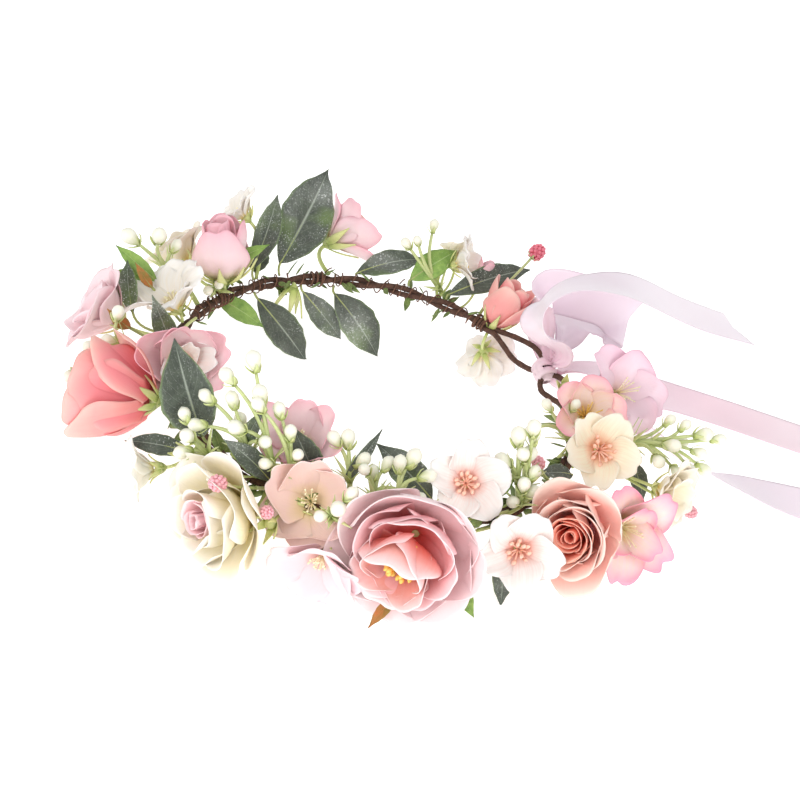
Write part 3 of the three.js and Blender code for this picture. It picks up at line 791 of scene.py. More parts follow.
def stem_line(point, along):
    """The curve of a stem from the hoop to point, along the given direction; None if point is too near."""
    local = (point - HOOP_CENTRE) / MM
    centre = around(math.degrees(math.atan2(local.y, local.x)), HOOP_RADIUS)
    away = local - centre
    if away.length < STEM_START + 0.8:
        return None
    start = centre + away.normalized() * STEM_START
    reach = (local - start).length
    middle = local - along * 0.45 * reach
    return [HOOP_CENTRE + p * MM for p in bezier(start, middle, local, 8)]


# ---- flower heads ----
# Each row: node, [angle, radius, height], [azimuth, lift] of the face, radius and depth of the head.
HEADS = {
    "peony_stamens": ([-78, 117, -1], [-104, 2], 8, 9),
    "peony_inner_petals": ([-77, 116, 1], [-103, 4], 21, 18),
    "peony": ([-75, 112, 6], [-96, 14], 32, 20),
    "peach_rose_core": ([-39, 120, 6], [-108, 18], 11, 14),
    "peach_rose": ([-37, 117, 5], [-108, 18], 25, 20),
    "coral_rose": ([-159, 120, -2], [172, -2], 24, 26),
    "cream_rose": ([-114, 119, -3], [-135, 5], 25, 18),
    "pink_blossom_inner": ([-158, 87, 14], [-70, 38], 23, 15),
    "pink_tipped_blossom": ([-24, 132, 1], [-62, 25], 22, 16),
    "blush_blossom_left": ([179, 130, 6], [185, 25], 21, 16),
    "white_blossom_left": ([174, 101, 19], [185, 55], 20, 13),
    "pink_rosebud_left": ([150, 98, 26], [150, 72], 15, 20),
    "pink_blossom_back": ([105, 114, 16], [40, 30], 20, 16),
    "cream_blossom_back": ([150, 124, 10], [155, 35], 17, 12),
    "white_blossom_back": ([140, 110, 33], [180, 35], 13, 8),
    "pink_blossom_front_left": ([-108, 79, 25], [-100, 65], 16, 17),
    "peach_blossom_front": ([-98, 99, 9], [-95, 40], 20, 14),
    "blush_blossom_low": ([-92, 114, -14], [-95, -15], 19, 13),
    "white_blossom_inner": ([-56, 84, 17], [-80, 42], 17, 10),
    "white_blossom_front": ([-49, 113, 1], [-85, 28], 17, 10),
    "cream_star_blossom": ([-10, 103, 14], [-80, 38], 17, 9),
    "pink_blossom_right": ([3, 94, 16], [-85, 52], 18, 11),
    "lilac_blossom_right": ([16, 115, 16], [-50, 48], 21, 13),
    "cream_blossom_right": ([-7, 140, 0], [-35, 15], 16, 11),
    "pink_rosebud_right": ([59, 101, 14], [50, 60], 11, 18),
    "white_blossom_right_back": ([74, 107, 18], [0, 30], 14, 9),
    "white_blossom_under": ([60, 98, -22], [60, -50], 15, 10),
    "white_daisy_left": ([-137, 121, -12], [200, -10], 13, 13),
}
# Thickness of the petals' cloth in millimetres.
PETAL_CLOTH = 0.22
BLOSSOM_PETALS = 5


def start_flower(name, seed):
    at, face, radius, depth = HEADS[name]
    flower = Flower(name, at, face, depth, seed)
    flower.radius = radius
    flower.reach = math.hypot(radius, 0.9 * depth)
    flower.opening = math.degrees(math.atan2(radius, 0.9 * depth))
    return flower


def finish_petals(flower, sheets, cloth, slot, name=None):
    name = name or flower.name
    sheets.build(name, PETALS[cloth], thickness=PETAL_CLOTH * MM, slot=slot,
                 stands_for=[name] if name in HEADS else ())


def open_blossom(name, seed, cloth, slot, start=0, width=1.12, spread=26, cup=25, ruffle=0.9,
                 waves=2.4, ribs=0.0, notch=0.06, curl=12, stamen=STAMEN_CREAM, stamens=16, stamen_length=0.3,
                 splay=45, bead=0.9, thread=0.28, second=0):
    """A flat blossom: one ring of broad overlapping petals around an open throat full of stamens."""
    flower = start_flower(name, seed)
    sheets = Sheets()
    lean = (flower.opening - spread, min(98, flower.opening + spread))
    shape = dict(ruffle=ruffle, waves=waves, ribs=ribs, notch=notch, curl=curl, claw=0.2, belly=0.66,
                 blunt=0.36, shrink=0.1, across=26 if ribs else 18, along=16)
    flower.ring(sheets, BLOSSOM_PETALS, start, jitter=6, length=flower.reach * 1.03,
                width=flower.radius * width, lean=lean, cup=cup, foot=1.2, **shape)
    if second:
        flower.ring(sheets, second, start + 36, jitter=8, length=flower.reach * 0.8,
                    width=flower.radius * width * 0.85, lean=(lean[0] - 16, lean[1] - 22), cup=cup + 12,
                    foot=1.0, lift=1.0, **shape)
    finish_petals(flower, sheets, cloth, slot)
    flower.stamens(stamen, stamens, flower.radius * stamen_length, splay, bead, thread, lift=1.6)
    flower.calyx(5, length=0.42 * flower.radius + 2, width=3.2, lean=(70, 30))
    flower.stem()


# Each layer of a rose is turned this many degrees from the one outside it.
LAYER_TURN = 47


def rose_layers(flower, layers, first_turn=0):
    """Rings of petals from the outside in, as one Sheets for each cloth. A layer names its cloth, its
    count of petals and what ring() and petal() take."""
    parts = {}
    for k, layer in enumerate(layers):
        shape = dict(layer)
        sheets = parts.setdefault(shape.pop("cloth"), Sheets())
        count = shape.pop("count")
        flower.ring(sheets, count, first_turn + LAYER_TURN * k, jitter=shape.pop("jitter", 7), **shape)
    return parts


def make_peony():
    """The big blossom in front: a dusky hood on top, broad side petals, and an opening turned down and to
    the left, which the upper inner petals half close."""
    flower = start_flower("peony", 11)
    common = dict(belly=0.68, claw=0.3, waves=1.7, along=22, across=24, shrink=0.1, blunt=0.36, twist=5)
    outer = Sheets()
    flower.some(outer, [
        (104, 43, 54, (62, 14), 56, -10, 0.0),
        (48, 40, 46, (64, 28), 50, 4, 0.02),
        (160, 38, 44, (66, 30), 50, 8, 0.02),
        (212, 38, 46, (68, 46), 44, 14, 0.03),
        (266, 37, 48, (70, 50), 42, 16, 0.02),
        (318, 38, 46, (68, 42), 46, 14, 0.03),
        (4, 39, 44, (66, 36), 48, 10, 0.02),
    ], ruffle=0.9, foot=2, **common)
    finish_petals(flower, outer, "peony_outer", "blush")
    middle = Sheets()
    flower.some(middle, [
        (88, 37, 42, (48, 2), 60, 4, 0.04),
        (34, 35, 36, (50, 10), 58, 10, 0.03),
        (345, 34, 36, (54, 20), 56, 14, 0.04),
        (292, 32, 38, (60, 30), 52, 18, 0.03),
        (232, 32, 38, (60, 32), 52, 18, 0.04),
        (172, 34, 38, (54, 16), 58, 12, 0.03),
        (130, 35, 34, (48, 4), 60, 8, 0.03),
    ], ruffle=1.2, foot=1.6, lift=1.5, **common)
    finish_petals(flower, middle, "peony_middle", "pink", "peony_middle")
    heart = start_flower("peony_inner_petals", 12)
    inner = Sheets()
    heart.some(inner, [
        (88, 33, 40, (38, -26), 58, 6, 0.05),
        (30, 30, 30, (40, -6), 64, 16, 0.04),
        (150, 29, 30, (42, -8), 64, 16, 0.04),
        (318, 27, 30, (48, 12), 62, 26, 0.03),
        (262, 25, 34, (54, 20), 58, 32, 0.05),
        (206, 26, 30, (50, 14), 62, 26, 0.04),
    ], ruffle=0.9, foot=3.2, lift=1.5, **common)
    inner.blob(heart.base + heart.axis * 1.6 * MM, heart.axis, 4.2 * MM, 4.4 * MM, sides=16, rings=8,
               tone=0.3)
    finish_petals(heart, inner, "peony_inner", "pink", "peony_inner_petals")
    heart.stamens(STAMEN, 52, 12.5, 40, bead=1.9, thread=0.35, lift=3.5, name="peony_stamens",
                  stands_for=["peony_stamens"])
    flower.calyx(5, length=17, width=8, lean=(80, 62), cup_radius=4)
    flower.stem(radius=1.2)


def make_peach_rose():
    flower = start_flower("peach_rose", 23)
    layers = [
        dict(cloth="rose_outer", count=5, jitter=12, foot=2, lift=0, length=33, width=37, lean=(66, 34),
             cup=44, curl=46, ruffle=1.0, waves=1.4, blunt=0.42, belly=0.62, claw=0.35, oval=1.0, twist=8),
        dict(cloth="rose_outer", count=4, jitter=12, foot=2, lift=1, length=31, width=36, lean=(52, 16),
             cup=56, curl=44, ruffle=0.9, waves=1.4, blunt=0.38, belly=0.64, claw=0.4, oval=0.9, twist=10),
        dict(cloth="rose_outer", count=4, jitter=12, foot=2.4, lift=2, length=27, width=30, lean=(38, 8),
             cup=68, curl=36, ruffle=0.7, waves=1.3, blunt=0.3, belly=0.66, claw=0.5, oval=0.7, twist=12),
    ]
    heart = [
        dict(cloth="rose_core", count=3, jitter=14, foot=3.6, lift=2, length=25, width=30, lean=(24, 4),
             curl=32, ruffle=0.7, waves=1.3, blunt=0.2, belly=0.6, claw=0.7, wrap=True, twist=14),
        dict(cloth="rose_core", count=3, jitter=14, foot=2.6, lift=2.5, length=23.5, width=24, lean=(18, 2),
             curl=24, ruffle=0.6, waves=1.3, blunt=0.14, belly=0.5, claw=0.8, wrap=True, twist=14),
        dict(cloth="rose_core", count=3, jitter=14, foot=1.6, lift=3, length=22, width=16, lean=(12, 0),
             curl=14, ruffle=0.4, waves=1.3, blunt=0.1, belly=0.5, claw=0.85, wrap=True, twist=16),
        dict(cloth="rose_core", count=2, jitter=10, foot=0.9, lift=3, length=20, width=9, lean=(6, 0),
             curl=8, ruffle=0.2, waves=1.3, blunt=0.05, belly=0.5, claw=0.9, wrap=True, twist=16),
    ]
    for cloth, sheets in rose_layers(flower, layers).items():
        finish_petals(flower, sheets, cloth, "peach")
    for cloth, sheets in rose_layers(flower, heart, 20).items():
        finish_petals(flower, sheets, cloth, "coral", "peach_rose_core")
    flower.calyx(5, length=14, width=5, lean=(70, 40), cup_radius=3.6)
    flower.stem(radius=1.1)


def make_coral_rose():
    flower = start_flower("coral_rose", 31)
    outer = Sheets()
    flower.some(outer, [
        (-56, 40, 46, (60, 8), 56, 8, 0.0),
        (158, 37, 42, (60, 8), 54, 24, 0.0),
        (232, 38, 42, (60, 10), 54, 18, 0.0),
    ], ruffle=0.8, waves=1.5, blunt=0.34, belly=0.62, claw=0.5, foot=3.2, twist=9, along=20, across=20)
    finish_petals(flower, outer, "coral_light", "coral", "coral_rose_low")
    outer = Sheets()
    flower.some(outer, [
        (-8, 38, 44, (54, 6), 60, 10, 0.0),
        (42, 37, 44, (50, 4), 62, 14, 0.0),
        (100, 36, 38, (52, 4), 60, 18, 0.0),
    ], ruffle=0.8, waves=1.5, blunt=0.34, belly=0.62, claw=0.5, foot=2.4, lift=1.2, twist=9, along=20,
    across=20)
    finish_petals(flower, outer, "coral", "coral")
    heart = Sheets()
    flower.ring(heart, 5, 60, length=33, width=28, lean=(22, 2), cup=66, curl=26, ruffle=0.7, waves=1.5,
                blunt=0.3, belly=0.66, claw=0.3, foot=1.2, lift=2)
    flower.ring(heart, 4, 20, length=29, width=24, lean=(28, -4), cup=75, curl=20, ruffle=0.4, waves=1.4,
                blunt=0.2, belly=0.62, claw=0.6, foot=1.6, lift=3, wrap=True)
    flower.ring(heart, 3, 0, length=27, width=14, lean=(10, -3), curl=10, ruffle=0.2, waves=1.2, blunt=0.1,
                belly=0.6, claw=0.8, foot=1.2, lift=3, wrap=True)
    finish_petals(flower, heart, "coral_deep", "coral", "coral_rose_heart")
    flower.calyx(6, length=13, width=4.4, lean=(58, 20), cup_radius=3.6)
    flower.stem(radius=1.1)


def make_cream_rose():
    flower = start_flower("cream_rose", 41)
    layers = [
        dict(cloth="cream_rose", count=5, foot=2, lift=0, length=33, width=38, lean=(66, 44), cup=42,
             curl=34, ruffle=1.1, waves=1.6, blunt=0.26, belly=0.66, claw=0.3),
        dict(cloth="cream_rose", count=5, foot=2, lift=1, length=30, width=33, lean=(50, 24), cup=56,
             curl=36, ruffle=0.9, waves=1.6, blunt=0.22, belly=0.68, claw=0.35),
        dict(cloth="cream_rose", count=4, foot=2, lift=2, length=27, width=26, lean=(32, 8), cup=72, curl=30,
             ruffle=0.6, waves=1.4, blunt=0.16, belly=0.7, claw=0.5),
        dict(cloth="blush_inner", count=4, foot=2.6, lift=2.5, length=24, width=18, lean=(16, 0), curl=20,
             ruffle=0.3, waves=1.3, blunt=0.08, belly=0.5, claw=0.8, wrap=True),
        dict(cloth="blush_inner", count=3, foot=1.4, lift=3, length=23, width=11, lean=(7, -2), curl=10,
             ruffle=0.2, waves=1.3, blunt=0.06, belly=0.5, claw=0.85, wrap=True),
    ]
    for cloth, sheets in rose_layers(flower, layers, 15).items():
        name = "cream_rose" if cloth == "cream_rose" else "cream_rose_heart"
        finish_petals(flower, sheets, cloth, "cream", name)
    flower.calyx(5, length=13, width=4.5, lean=(68, 35), cup_radius=3.4)
    flower.stem(radius=1.1)


def make_daisy():
    flower = start_flower("white_daisy_left", 61)
    sheets = Sheets()
    flower.ring(sheets, 6, 10, jitter=5, length=16, width=11, lean=(28, 92), cup=32, ruffle=0.7, waves=2,
                curl=20, notch=0.05, claw=0.3, belly=0.5, blunt=0.26, foot=1.6, lift=2)
    finish_petals(flower, sheets, "daisy", "white")
    flower.stamens(STAMEN_CREAM, 10, 6, 40, bead=0.9, lift=3)
    flower.calyx(6, length=8, width=3.4, lean=(20, 55), cup_radius=2.6)
    flower.stem()


def make_blossoms():
    star = dict(stamen=STAMEN_PEACH, bead=1.7, thread=0.42)
    open_blossom("white_blossom_front", 101, "white_peach", "white", start=68, ribs=0.16, ruffle=0.9, waves=3,
                 notch=0.04, stamens=11, stamen_length=0.36, splay=58, **star)
    open_blossom("white_blossom_inner", 102, "white_peach", "white", start=96, ribs=0.16, ruffle=0.9, waves=3,
                 notch=0.04, stamens=11, stamen_length=0.32, splay=58, **star)
    open_blossom("cream_star_blossom", 103, "cream_star", "cream", start=56, width=1.12, ruffle=0.7,
                 waves=1.6, notch=0.1, stamens=11, stamen_length=0.38, splay=76, **star)
    open_blossom("pink_tipped_blossom", 104, "tipped", "pink", start=35, width=1.0, ruffle=1.0, waves=1.8,
                 cup=44, notch=0.08, spread=24, stamens=12, stamen_length=0.62, splay=34, bead=0.8, second=3)
    open_blossom("pink_blossom_right", 105, "pink_yellow", "pink", start=80, width=1.2, cup=62, ruffle=0.5,
                 waves=1.5, notch=0.03, spread=40, curl=-26, stamen=STAMEN, stamens=24, stamen_length=0.5,
                 splay=66, bead=0.6, thread=0.25)
    open_blossom("lilac_blossom_right", 106, "lilac", "lilac", start=116, width=1.25, cup=40, ruffle=0.9,
                 waves=1.6, notch=0.03, spread=30, stamens=10, stamen_length=0.6, splay=38, bead=0.7)
    open_blossom("cream_blossom_right", 107, "cream", "cream", start=20, width=1.2, ruffle=0.8, cup=34,
                 second=4)
    open_blossom("blush_blossom_left", 108, "blush", "blush", start=12, width=1.42, cup=44, ruffle=0.6,
                 waves=1.5, spread=20, notch=0.04, second=3)
    open_blossom("white_blossom_left", 109, "white", "white", start=80, width=1.15, cup=44, ruffle=1.3,
                 waves=3, ribs=0.2, notch=0.04, spread=30)
    open_blossom("cream_blossom_back", 110, "cream", "cream", start=90, width=1.3, cup=40, ruffle=0.9,
                 waves=1.8, second=4)
    open_blossom("white_blossom_back", 111, "white", "white", start=95, width=1.15, cup=40, ruffle=0.8,
                 waves=3, ribs=0.15, stamens=10)
    open_blossom("blush_blossom_low", 113, "blush", "blush", start=90, width=1.4, cup=34, ruffle=0.5,
                 waves=1.4, spread=20)
    open_blossom("white_blossom_right_back", 114, "white", "white", start=90, width=1.15, cup=40, ruffle=0.9,
                 waves=3, ribs=0.16, stamen=STAMEN)
    open_blossom("white_blossom_under", 115, "white", "white", start=20, width=1.2, cup=38, ruffle=0.9,
                 waves=2)


def make_inner_blossom():
    """The pink blossom inside the hoop on the left: a tall two-lobed petal at the back, cupped ones left of
    it, and small cream ones in front."""
    flower = start_flower("pink_blossom_inner", 121)
    outer = Sheets()
    flower.some(outer, [
        (84, 28, 30, (38, 14), 44, -6, 0.2),
        (132, 26, 20, (40, 22), 60, 0, 0.05),
        (172, 29, 27, (56, 44), 66, -12, 0.08),
        (212, 26, 25, (66, 62), 60, -12, 0.08),
        (262, 22, 24, (64, 66), 48, 8, 0.1),
        (318, 22, 24, (62, 62), 44, 8, 0.1),
        (22, 24, 24, (56, 46), 46, 8, 0.1),
    ], ruffle=0.6, waves=1.6, belly=0.66, blunt=0.36, claw=0.3, foot=1.5, along=18, across=20)
    finish_petals(flower, outer, "pink", "pink")
    inner = Sheets()
    flower.some(inner, [
        (8, 19, 18, (50, 34), 56, 8, 0.12),
        (300, 17, 17, (54, 44), 50, 12, 0.1),
        (230, 16, 15, (50, 40), 56, 12, 0.1),
        (60, 15, 13, (30, 20), 60, 6, 0.1),
    ], ruffle=1.0, waves=2.2, belly=0.62, blunt=0.34, claw=0.3, foot=1.2, lift=1.4)
    finish_petals(flower, inner, "white_peach", "pink", "pink_blossom_inner_heart")
    flower.stamens(STAMEN_CREAM, 10, 7, 30, lift=3)
    flower.calyx(5, length=10, width=4, lean=(62, 30), cup_radius=3)
    flower.stem(radius=1.0)


def make_peach_blossom():
    """The cupped blossom left of the peony: tall lobes behind and to the left, low ones closing in front."""
    flower = start_flower("peach_blossom_front", 112)
    sheets = Sheets()
    flower.some(sheets, [
        (104, 26, 28, (46, 26), 50, -4, 0.12),
        (168, 26, 27, (52, 38), 52, -8, 0.1),
        (36, 25, 26, (48, 34), 50, -4, 0.1),
        (338, 24, 26, (58, 46), 50, -10, 0.08),
    ], ruffle=0.5, waves=1.4, belly=0.6, blunt=0.36, claw=0.55, foot=0.8, twist=8, along=18, across=20)
    flower.some(sheets, [
        (286, 23, 28, (70, 56), 52, -22, 0.06),
        (226, 24, 28, (72, 54), 52, -22, 0.06),
    ], ruffle=0.4, waves=1.4, belly=0.6, blunt=0.36, claw=0.55, foot=1.0, lift=-0.6, twist=8, along=18,
    across=20)
    finish_petals(flower, sheets, "peach", "peach")
    flower.stamens(STAMEN_CREAM, 14, 8, 30, lift=3)
    flower.calyx(5, length=11, width=4, lean=(70, 40), cup_radius=2.8)
    flower.stem()


def make_left_rosebud():
    """A plump closed rosebud that stands up, in a star of pointed sepals."""
    flower = start_flower("pink_rosebud_left", 122)
    outer = Sheets()
    flower.some(outer, [
        (124, 31, 28, (50, -14), 66, -8, 0.0),
        (212, 31, 28, (50, -14), 66, -8, 0.0),
        (-64, 29, 22, (32, -8), 66, -6, 0.04),
    ], ruffle=0.4, waves=1.4, belly=0.62, blunt=0.34, claw=0.22, foot=1.6, along=20, across=20)
    flower.some(outer, [(38, 34, 30, (56, -8), 64, -8, 0.05)], ruffle=0.4, waves=1.4, belly=0.56, blunt=0.34,
                claw=0.5, foot=2.6, along=20, across=20)
    finish_petals(flower, outer, "rosebud", "pink")
    inner = Sheets()
    flower.ring(inner, 4, 10, length=27, width=22, lean=(22, -10), cup=70, curl=-10, ruffle=0.4, waves=1.6,
                belly=0.62, blunt=0.3, claw=0.4, foot=1.4, lift=1.5)
    finish_petals(flower, inner, "pink", "pink", "pink_rosebud_left_heart")
    flower.calyx(9, length=20, width=5.6, lean=(74, 18), cup_radius=4.6)
    flower.stem(radius=1.1)


def make_back_blossom():
    """The pink blossom behind the hoop, seen from its back: tall petals, long sepals, one lying down."""
    flower = start_flower("pink_blossom_back", 123)
    outer = Sheets()
    flower.some(outer, [
        (100, 25, 22, (40, 40), 44, 8, 0.04),
        (160, 27, 22, (44, 40), 44, 8, 0.04),
        (225, 27, 20, (52, 62), 40, 12, 0.04),
        (300, 24, 20, (50, 60), 44, 12, 0.04),
        (30, 24, 22, (44, 50), 44, 12, 0.04),
    ], ruffle=0.7, waves=1.7, belly=0.64, blunt=0.36, claw=0.28, foot=1.6, along=18, across=18)
    finish_petals(flower, outer, "rosebud", "pink")
    inner = Sheets()
    flower.ring(inner, 4, 40, length=21, width=18, lean=(34, 16), cup=60, curl=8, ruffle=0.6, waves=1.8,
                belly=0.62, blunt=0.34, claw=0.35, foot=1.4, lift=1.4)
    finish_petals(flower, inner, "coral_light", "pink", "pink_blossom_back_heart")
    flower.stamens(STAMEN, 12, 10, 26, lift=3)
    flower.calyx(6, length=17, width=5, lean=(58, 34), cup_radius=3.6)
    flower.stem(radius=1.0)


def make_front_left_blossom():
    """The small pink blossom behind the dark leaf, open upwards."""
    flower = start_flower("pink_blossom_front_left", 124)
    outer = Sheets()
    flower.some(outer, [
        (170, 24, 19, (52, 52), 40, -14, 0.0),
        (105, 22, 20, (36, 30), 52, -14, 0.06),
        (48, 24, 20, (40, 22), 46, 4, -0.1),
        (0, 21, 18, (54, 50), 44, 4, 0.0),
        (290, 19, 19, (56, 60), 40, 8, 0.04),
        (232, 20, 19, (56, 58), 40, 8, 0.04),
    ], ruffle=0.6, waves=1.6, belly=0.62, blunt=0.36, claw=0.28, foot=1.4, along=18, across=18)
    finish_petals(flower, outer, "rosebud", "pink")
    flower.stamens(STAMEN_CREAM, 10, 8, 28, lift=3)
    flower.calyx(5, length=10, width=3.6, lean=(62, 34), cup_radius=2.8)
    flower.stem(radius=1.0)


def make_right_rosebud():
    flower = start_flower("pink_rosebud_right", 125)
    outer = Sheets()
    flower.ring(outer, 4, 200, length=25, width=21, lean=(56, -8), cup=64, curl=6, ruffle=0.5, waves=1.5,
                belly=0.62, blunt=0.36, claw=0.32, foot=1.6, along=18, across=18)
    finish_petals(flower, outer, "coral_light", "coral")
    inner = Sheets()
    flower.ring(inner, 4, 240, length=23, width=17, lean=(36, -8), cup=70, curl=6, ruffle=0.5, waves=1.5,
                belly=0.62, blunt=0.3, claw=0.4, foot=1.4, lift=1.5)
    finish_petals(flower, inner, "coral", "coral", "pink_rosebud_right_heart")
    flower.calyx(6, length=12, width=4, lean=(60, 18), cup_radius=3)
    flower.stem(radius=1.0)


def make_extra_heads():
    """Small heads and calyxes too slight for a CAD solid of their own."""
    tip = Flower("pink_tip_back", [71, 113, 12], [60, 70], 8, 131)
    sheets = Sheets()
    tip.ring(sheets, 3, 30, length=14, width=10, lean=(30, -4), cup=60, ruffle=0.3, blunt=0.3, claw=0.4)
    finish_petals(tip, sheets, "rosebud", "pink")
    tip.calyx(5, length=6, width=2.6, lean=(50, 10), cup_radius=1.8)
    tip.stem(radius=0.6)
    beige = Flower("beige_blossom_back", [80, 117, 17], [110, 50], 6, 132)
    sheets = Sheets()
    beige.ring(sheets, 5, 20, length=10, width=10, lean=(30, 70), cup=40, ruffle=0.5, blunt=0.34, claw=0.3)
    finish_petals(beige, sheets, "cream", "cream")
    beige.calyx(5, length=5, width=2.4, lean=(60, 20), cup_radius=1.6)
    beige.stem(radius=0.6)
    for name, at, face, count, length in [
        ("star_calyx_hanging", [126, 84, -5], [-100, -70], 5, 15),
        ("star_calyx_front", [-104, 113, 0], [-110, 5], 5, 11),
        ("star_calyx_low_left", [-131, 105, 0], [-140, 20], 5, 10),
        ("star_calyx_eye", [24, 92, 6], [-90, 60], 4, 8),
    ]:
        calyx = Flower(name, at, face, 3, len(name))
        calyx.calyx(count, length=length, width=4.4, lean=(40, 8), cup_radius=2.4)
        calyx.stem(radius=0.7)


# Short blades in all and on the flowers' side of the hoop, and twigs.
BLADES = 150
FRONT_BLADES = 110
TWIGS = 46


def make_greenery():
    """Short blades and twigs close around the hoop, where the flowers' wires are taped to it."""
    seeded = random.Random(19)
    blades, twigs = Sheets(), Sheets()
    for k in range(BLADES):
        at = mix(-178, 18, seeded.random()) if k < FRONT_BLADES else mix(60, 168, seeded.random())
        turn = seeded.uniform(0, 360)
        root = strand_point(at, 1, 2.6, turn)
        out = (root - place((at, HOOP_RADIUS, 0))).normalized()
        heading = (out + around(at + 90, seeded.uniform(-1.2, 1.2))).normalized()
        length = seeded.uniform(6, 13) * (1 if k < FRONT_BLADES else 0.7)
        across = heading.cross(out + around(at, 0.3)).normalized()
        lift = heading.cross(across).normalized()
        width = length * seeded.uniform(0.14, 0.3)
        rows = []
        for i in range(8):
            t = i / 7
            half = width * math.sin(math.pi * min(1, 0.1 + 0.9 * t**0.8)) + 0.05
            # This draw is always 1. It is kept so that the draws after it stay the same.
            bend = lift * length * 0.22 * t * t * seeded.choice((1, 1, 1))
            centre = root + (heading * length * t + bend) * MM
            rows.append([centre + (across * half * v + lift * 0.3 * half * v * v) * MM
                         for v in (-1, -0.5, 0, 0.5, 1)])
        blades.grid(rows, tone=seeded.random())
    for _ in range(TWIGS):
        at = mix(-176, 14, seeded.random())
        end = at + seeded.uniform(6, 16) * seeded.choice((-1, 1))
        a = strand_point(at, 1, 3.4, seeded.uniform(0, 360))
        b = strand_point(end, 1, 4.4, seeded.uniform(0, 360))
        middle = (a + b) / 2 + (((a + b) / 2 - HOOP_CENTRE).normalized() + Vector((0, 0, 0.4))) * 2.5 * MM
        twigs.tube(bezier(a, middle, b, 7), seeded.uniform(0.5, 0.8) * MM, sides=6)
    blades.build("greenery_blades", GREENERY, thickness=0.25 * MM, slot="fresh_leaf")
    twigs.build("greenery_twigs", STEM, slot="wax_bud")


# ---- leaves ----
# Each row: base, tip, width, [azimuth, lift] of the upper face, and bow as a share of the length.
LEAVES = {
    "frosted_leaf_tall": ([129, 92, 9], [112, 130, 37], 26, [-75, 20], 0.05),
    "frosted_leaf_inner": ([-131, 96, 7], [-144, 103, 42], 22, [-90, 30], 0.12),
    "leaf_back_left": ([138, 93, 8], [127, 112, 34], 12, [-80, 10], 0.12),
    "leaf_hanging_left": ([139, 84, -3], [121, 68, -32], 16, [-110, 50], 0.12),
    "leaf_hanging_middle": ([122, 84, -3], [106, 80, -27], 12, [-90, 40], 0.12),
    "leaf_hanging_right": ([111, 84, -4], [92, 76, -31], 18, [-90, 50], 0.12),
    "leaf_back_flat": ([104, 93, 3], [86, 109, 9], 13, [-90, 60], 0.12),
    "leaf_back_bright": ([88, 94, 5], [79, 112, 18], 13, [-90, 40], 0.12),
    "leaf_back_right": ([76, 94, 4], [64, 134, 12], 13, [-90, 50], 0.12),
    "leaf_left_outer": ([164, 108, 4], [170, 130, 12], 10, [-110, 50], 0.12),
    "leaf_left_low": ([-134, 96, -5], [-145, 116, -10], 9, [-90, 50], 0.12),
    "leaf_front_left": ([-101, 78, 6], [-110, 82, 27], 12, [-80, 30], 0.12),
    "leaf_front_middle": ([-64, 78, 4], [-84, 62, 18], 14, [-90, 50], 0.12),
    "leaf_front_low": ([-48, 99, -8], [-48, 110, -32], 9, [-70, 20], 0.12),
}
EXTRA_LEAVES = {
    "leaf_light_back_left": ([145, 97, 6], [136, 106, 16], 6, [-90, 50], 0.12),
    "leaf_dark_back_left": ([136, 94, 4], [132, 104, 12], 11, [-90, 40], 0.1),
    "leaf_light_inner": ([150, 94, -3], [141, 74, -12], 10, [-100, 50], 0.14),
    "leaf_dark_left": ([178, 112, 6], [171, 122, 22], 9, [-100, 30], 0.1),
    "leaf_dark_inner": ([-173, 90, 5], [-171.5, 103, 30], 10, [-90, 30], 0.12),
    "leaf_dark_spray": ([-109, 96, 8], [-121, 103, 20], 10, [-90, 60], 0.12),
    "leaf_blue_right": ([-16, 95, 3], [-28, 86, 9], 8, [-90, 60], 0.08),
    "leaf_dark_right": ([0.4, 118, 0], [-2.4, 128, -15], 8, [-80, 30], 0.1),
    "leaf_russet_left": ([-174, 110, 8], [-173, 121, 17], 6, [-100, 30], 0.14),
    "leaf_russet_up": ([172, 108, 14], [173, 117, 25], 4.5, [-90, 30], 0.14),
    "leaf_russet_low": ([-75, 112, -20], [-80, 125, -26], 5, [-90, 60], 0.1),
    "leaf_blade_right": ([150, 92, 16], [139, 84, 27], 6, [-90, 40], 0.1),
    "leaf_blade_left": ([169, 108, 14], [168, 131, 23], 7, [-90, 40], 0.1),
    "leaf_fresh_front": ([-46, 84, 4], [-36, 80, 13], 8, [-90, 60], 0.1),
    "leaf_fresh_low": ([-62, 104, -12], [-60, 124, -20], 9, [-80, 20], 0.1),
    "leaf_inner_tip": ([-121, 90, 10], [-116, 92, 36], 7, [-90, 30], 0.1),
    "leaf_middle_tip": ([-92, 80, 8], [-84, 68, 30], 5, [-80, 30], 0.1),
}
# How far each half is folded up, where it is more than usual.
LEAF_FOLDS = {
    "frosted_leaf_inner": 0.75,
    "leaf_back_left": 0.5,
    "leaf_front_left": 0.5,
    "leaf_dark_left": 0.45,
    "leaf_dark_inner": 0.45,
    "leaf_hanging_right": 0.35,
}


